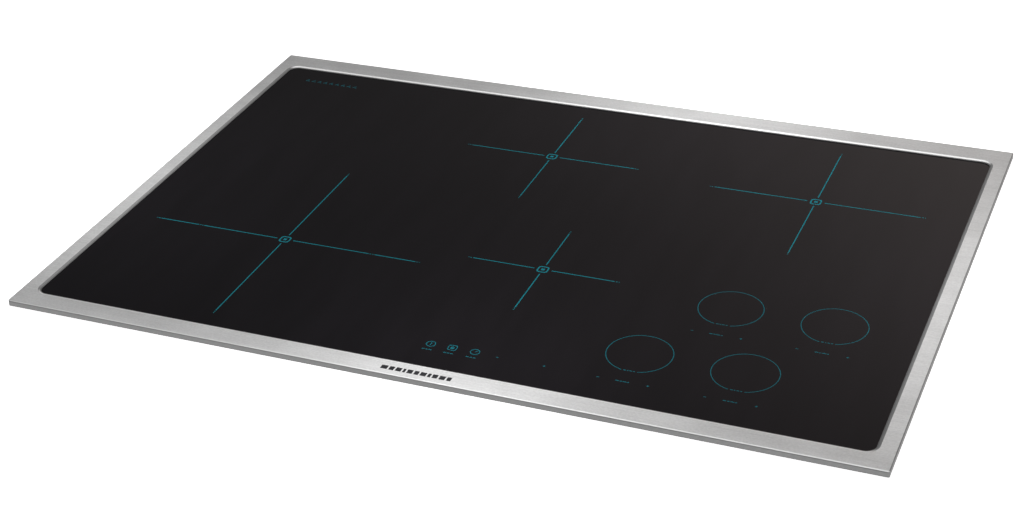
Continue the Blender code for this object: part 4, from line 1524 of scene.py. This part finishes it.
@dataclass
class MainsEntry:
    """The mains entry in the back wall: cover plate, screws, conduit gland and terminal block."""

    bore: float = 0.008
    thread_root: float = 0.0104
    thread_crest: float = 0.0110
    thread_pitch: float = 0.0012
    collar: float = 0.0125
    ribs: int = 3
    rib_pitch: float = 0.0006
    rib_rise: float = 0.0004
    nut_inner: float = 0.0100
    nut_reach: float = 0.0060
    nut_ease: float = 0.0008
    cap_radius: float = 0.0135
    cap_start: float = 0.0092
    cells: int = 4
    bar_lift: float = 0.0085
    bar_half: float = 0.0034
    bar_thickness: float = 0.0014
    bar_screw: Pair = (0.0029, 0.0020)

    def build(self) -> None:
        """Make each piece of it."""
        soften("terminal_cover", ZINC, 0.0003)
        for side in ("left", "right"):
            Fastener("cover_screw_" + side, Axis.Y, 1).build()
        self.build_gland()
        self.build_terminals()

    def build_gland(self) -> None:
        """Turn the gland: a hexagon nut, a ribbed collar and a hexagon cap round one bore."""
        low, high, centre = room("conduit_gland")
        centre.y = 0.0
        inner, outer = low.y, high.y
        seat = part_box("terminal_cover")[1].y + 0.0003
        body = [(self.bore, inner)]
        for turn in range(int((seat - inner) / self.thread_pitch)):
            body.append((self.thread_root, inner + self.thread_pitch * turn))
            body.append((self.thread_crest, inner + self.thread_pitch * (turn + 0.5)))
        body += [(self.thread_crest, seat + 0.001), (self.collar, seat + 0.001)]
        for turn in range(self.ribs):
            start = seat + self.nut_reach + self.rib_pitch * turn
            body.append((self.collar, start))
            body.append((self.collar + self.rib_rise, start + self.rib_pitch / 2))
        body += [(self.collar, outer - 0.0006), (self.collar - 0.0006, outer), (self.bore, outer)]
        shape = Shape()
        shape.turned(body, centre, Axis.Y)
        nut = (seat, seat + self.nut_reach, (high.x - low.x) / 2)
        cap = (seat + self.cap_start, outer - 0.001, self.cap_radius)
        for first, last, reach in (nut, cap):
            flat = reach - self.nut_ease
            hexagon = [(self.nut_inner, first), (flat, first), (reach, first + self.nut_ease)]
            hexagon += [(reach, last - self.nut_ease), (flat, last), (self.nut_inner, last)]
            shape.turned(hexagon, centre, Axis.Y, 6)
        shape.piece("fine_conduit_gland", ALUMINIUM, replaces=["conduit_gland"])

    def build_terminals(self) -> None:
        """Ease the terminal block, and lay a brass bar with two screws in each of its cells."""
        soften("terminal_block", BLACK_PLASTIC, 0.0003)
        low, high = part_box("terminal_block")
        pitch = (high.x - low.x) / self.cells
        foot, top = low.z + self.bar_lift, low.z + self.bar_lift + self.bar_thickness
        shape = Shape()
        for cell in range(self.cells):
            x = low.x + pitch * (cell + 0.5)
            ends = (low.y + 0.002, high.y - 0.002)
            shape.box((x - self.bar_half, ends[0], foot), (x + self.bar_half, ends[1], top), 0.0003)
            for y in (low.y + 0.008, high.y - 0.008):
                shape.turned(domed(*self.bar_screw), (x, y, top), Axis.Z, SMALL_ROUND)
        shape.piece("terminal_bars", BRASS)


@dataclass
class HoldDownClamp:
    """A clamp that holds the cooktop down: bracket, fixing screws, knurled thumb screw and pad."""

    name: str
    side: int
    core: float = 0.0024
    crest: float = 0.0030
    pitch: float = 0.001
    head_top: float = 0.034
    head_ease: float = 0.0012
    lobes: int = 24
    lobe_steps: int = 4
    lobe_depth: float = 0.0007
    socket: float = 0.0033
    roof: float = 0.0019
    rings: tuple[float, ...] = (0.0070, 0.0050, 0.0030)
    groove: float = 0.0003
    ridge: Pair = (0.00044, 0.00006)

    def build(self) -> None:
        """Make each piece of it."""
        soften(self.name + "_clamp_bracket", ZINC, 0.0004)
        for where in ("front", "back"):
            Fastener(f"{self.name}_bracket_screw_{where}", Axis.X, self.side).build()
        low, high, middle = room(self.name + "_clamp_pad")
        self.centre = Vector((middle.x, middle.y, 0.0))
        self.build_screw()
        self.build_pad(low.z, high.z, (high.x - low.x) / 2)

    def build_screw(self) -> None:
        """Make the scalloped head, the core and its thread, which rises one pitch in a turn."""
        node = self.name + "_clamp_screw"
        low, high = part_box(node)
        foot, head, tip = low.z, self.head_top, high.z
        reach = (high.x - low.x) / 2
        outline = []
        for step in range(self.lobes * self.lobe_steps):
            dip = self.lobe_depth * (0.5 - 0.5 * math.cos(TURN * step / self.lobe_steps))
            angle = TURN * step / (self.lobes * self.lobe_steps)
            point = Matrix.Rotation(angle, 3, "Z") @ Vector((reach - dip, 0, 0))
            outline.append(self.centre + point + UP * (foot + 0.0004))
        shape = Shape()
        shape.plate(outline, head - foot - self.head_ease)
        rim = foot + 0.0010
        disc = ((0.0, foot), (reach - 0.0022, foot), (reach - 0.0010, rim), (0.0, rim))
        shape.turned(disc, self.centre)
        step, core = head - self.head_ease, self.core
        neck = [(0.0, step), (reach - self.head_ease, step), (reach - 2 * self.head_ease, head)]
        neck += [(core, head), (core, tip - 0.0006), (core - 0.0006, tip), (0.0, tip)]
        shape.turned(neck, self.centre, Axis.Z, 24)
        root = core - 0.0001
        wide, thin = self.ridge
        ridge = ((root, -wide), (self.crest, -thin), (self.crest, thin), (root, wide))
        turns = math.floor((tip - head - 0.0016) / self.pitch)
        start = self.centre + UP * (head + 0.0006)
        shape.helix(ridge, start, self.pitch, turns, 24)
        shape.piece("fine_" + node, SCREW_ZINC, self.name + "_screw", [node], SHARP_SCREW)

    def build_pad(self, low: float, high: float, radius: float) -> None:
        """Turn the pad: a cup over the screw's tip, with rings that grip the worktop.

        Args:
            low: Height of its foot.
            high: Height of its face.
            radius: Its radius.
        """
        waist, floor, roof = radius - 0.0004, high - self.groove, high - self.roof
        profile = [(self.socket, low), (radius - 0.0012, low), (waist, low + 0.0006)]
        profile += [(waist, low + 0.0018), (radius, low + 0.0022)]
        profile += [(radius, high - 0.0005), (radius - 0.0005, high)]
        for ring in self.rings:
            profile += [(ring, high), (ring - 0.0002, floor)]
            profile += [(ring - 0.0008, floor), (ring - 0.0010, high)]
        profile += [(0.0, high), (0.0, roof), (self.socket, roof)]
        shape = Shape()
        shape.turned(profile, self.centre)
        node = self.name + "_clamp_pad"
        shape.piece("fine_" + node, BLACK_PLASTIC, self.name + "_pad", [node], SHARP_SCREW)


# Studio


@dataclass(frozen=True)
class SoftBox:
    """A small low soft box that faces straight down and shows in no reflection."""

    name: str
    place: Point
    size: Pair
    power: float

    def build(self) -> None:
        """Hang it."""
        data = bpy.data.lights.new(self.name, "AREA")
        data.shape = "RECTANGLE"
        data.size, data.size_y = self.size
        data.energy = self.power
        lamp = bpy.data.objects.new(self.name, data)
        lamp.location = self.place
        lamp.visible_camera = lamp.visible_glossy = False
        bpy.context.scene.collection.objects.link(lamp)


@dataclass
class Studio:
    """Camera, light and the two pale surfaces round the cooktop."""

    worktop_top: float
    worktop_sheet: float = 0.020
    worktop_low: Pair = (-0.90, -0.57)
    worktop_high: Pair = (0.56, 0.76)
    worktop_corner: float = 0.004
    cut_out: Pair = (0.740, 0.504)
    cut_out_corner: float = 0.010
    floor_z: float = -0.28
    floor_reach: float = 6.0
    floor_sheet: float = 0.01
    eye: Point = (0.6006, -1.4797, 0.9975)
    forward: Point = (-0.348814, 0.790606, -0.503261)
    roll: float = -2.838
    lens: float = 69.61
    shift: Pair = (0.029, -0.0009)
    boxes: tuple[SoftBox, ...] = (
        SoftBox("front_box", (0.030, -0.24, 0.30), (0.18, 0.06), 0.72),
        SoftBox("back_box", (0.080, 0.24, 0.30), (0.20, 0.06), 0.60),
        SoftBox("left_box", (-0.37, -0.04, 0.30), (0.06, 0.34), 0.52),
        SoftBox("right_box", (0.37, 0.01, 0.30), (0.06, 0.28), 0.49),
    )

    def build(self) -> None:
        """Make all of it."""
        self.build_camera()
        self.build_world()
        for box in self.boxes:
            box.build()
        self.build_worktop()
        self.build_floor()

    def build_camera(self) -> None:
        """Stand the camera in front and to the right, looking down to the back left."""
        data = bpy.data.cameras.new("camera")
        data.lens = self.lens
        data.shift_x, data.shift_y = self.shift
        camera = bpy.data.objects.new("camera", data)
        bpy.context.scene.collection.objects.link(camera)
        look = Vector(self.forward).to_track_quat("-Z", "Y").to_matrix().to_4x4()
        roll = Matrix.Rotation(math.radians(self.roll), 4, "Z")
        camera.matrix_world = Matrix.Translation(self.eye) @ look @ roll
        bpy.context.scene.camera = camera
        bpy.context.scene.view_settings.view_transform = "Standard"

    @staticmethod
    def heading(azimuth: float, elevation: float) -> Vector:
        """Return the unit vector at an azimuth from +Y towards +X and an elevation, in degrees."""
        a, e = math.radians(azimuth), math.radians(elevation)
        return Vector((math.sin(a) * math.cos(e), math.cos(a) * math.cos(e), math.sin(e)))

    def build_world(self) -> None:
        """Light everything with a soft surround: pale horizon, dark band, and boxes overhead."""
        world = bpy.data.worlds.new("studio_light")
        bpy.context.scene.world = world
        world.use_nodes = True
        shader = Shader(world.node_tree)
        direction = shader.node("ShaderNodeTexCoord", output="Generated")
        height = shader.axes(direction)[2]

        def vector(operation: str, inputs: dict[str | int, Value], output: int = 0) -> Signal:
            """Add a Vector Math node."""
            return shader.node("ShaderNodeVectorMath", {"operation": operation}, inputs, output)

        def towards(azimuth: float, elevation: float) -> Signal:
            """Return the cosine of the angle to a heading."""
            return vector("DOT_PRODUCT", {0: direction, 1: self.heading(azimuth, elevation)}, 1)

        def lamp(azimuth: float, elevation: float, span: Pair, power: float) -> Signal:
            """Return a round soft box: full to the span's inner angle, nothing past its outer."""
            near, far = (math.cos(math.radians(angle)) for angle in span)
            return towards(azimuth, elevation).spread(far, near, 0.0, power)

        horizon = height.spread(-0.10, 0.02, 1.05, 0.0)
        band = height.spread(-0.10, 0.02, 0.0, 0.071)
        glow = towards(5.0, 18.0).at_least(0.0) ** 21.0 * 0.60
        overhead = height.spread(0.74, 0.92, 0.0, 0.9)
        key = lamp(-25.0, 58.0, (8.0, 14.0), 1.0)
        fill = lamp(150.0, 45.0, (20.0, 38.0), 1.2)
        light = horizon + band + overhead + key + fill
        tint = vector("SCALE", {0: (1.0, 0.87, 0.80), "Scale": glow})
        white = shader.node("ShaderNodeCombineXYZ", {}, [light, light, light])
        background = world.node_tree.nodes["Background"]
        shader.feed(background.inputs["Color"], vector("ADD", {0: tint, 1: white}))
        background.inputs["Strength"].default_value = 1.0

    def build_worktop(self) -> None:
        """Make the pale worktop with its cut-out, which shows but casts nothing on the part."""
        z_low, z_high = self.worktop_top - self.worktop_sheet, self.worktop_top
        half = Vector(self.cut_out) / 2
        outside = (self.worktop_low, self.worktop_high, self.worktop_corner)
        inside = (tuple(-half), tuple(half), self.cut_out_corner)
        outlines = [Outline(*outside, z_low), Outline(*outside, z_high)]
        shape = Shape()
        shape.skin([*outlines, Outline(*inside, z_high), Outline(*inside, z_low)], 4)
        worktop = self.stage_piece(shape, "pale_worktop", 0.85, 0.72)
        worktop.visible_glossy = worktop.visible_diffuse = worktop.visible_shadow = False

    def build_floor(self) -> None:
        """Make the pale floor far below the box."""
        reach = self.floor_reach
        shape = Shape()
        shape.box((-reach, -reach, self.floor_z - self.floor_sheet), (reach, reach, self.floor_z))
        self.stage_piece(shape, "pale_floor", 0.75, 0.30)

    @staticmethod
    def stage_piece(shape: Shape, name: str, albedo: float, glow: float) -> bpy.types.Object:
        """Turn a shape into a pale stage surface that the part's own light doesn't need.

        Args:
            shape: The surface.
            name: Its name.
            albedo: How much light it gives back.
            glow: How much it adds, so that it stays white in the part's shadow.

        Returns:
            The new object.
        """
        mesh = shape.mesh(name)
        paint = bpy.data.materials.new(name)
        paint.use_nodes = True
        shader = Shader(paint.node_tree)
        values = {"Base Color": grey(albedo), "Roughness": 1.0, "Specular IOR Level": 0.0}
        values |= {"Emission Color": grey(1.0), "Emission Strength": glow}
        for socket, value in values.items():
            shader.feed(paint.node_tree.nodes["Principled BSDF"].inputs[socket], value)
        mesh.materials.append(paint)
        surface = bpy.data.objects.new(name, mesh)
        bpy.context.scene.collection.objects.link(surface)
        return surface


def main() -> None:
    """Load the frame, build each sub-assembly and its surroundings, and report them."""
    logging.basicConfig(level=logging.INFO, format="%(name)s: %(message)s", stream=sys.stdout)
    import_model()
    Studio(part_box("worktop_gasket")[0].z).build()
    assemblies = [TrimFrame(), GlassTop(), BurnerBox()]
    assemblies += [CoilAssembly(zone[0]) for zone in GlassPrint.zones]
    assemblies += [Fan("left"), Fan("right"), Electronics(), TouchControls(), MainsEntry()]
    assemblies += [HoldDownClamp("left", -1), HoldDownClamp("right", 1)]
    for assembly in assemblies:
        assembly.build()


if __name__ == "__main__":
    main()
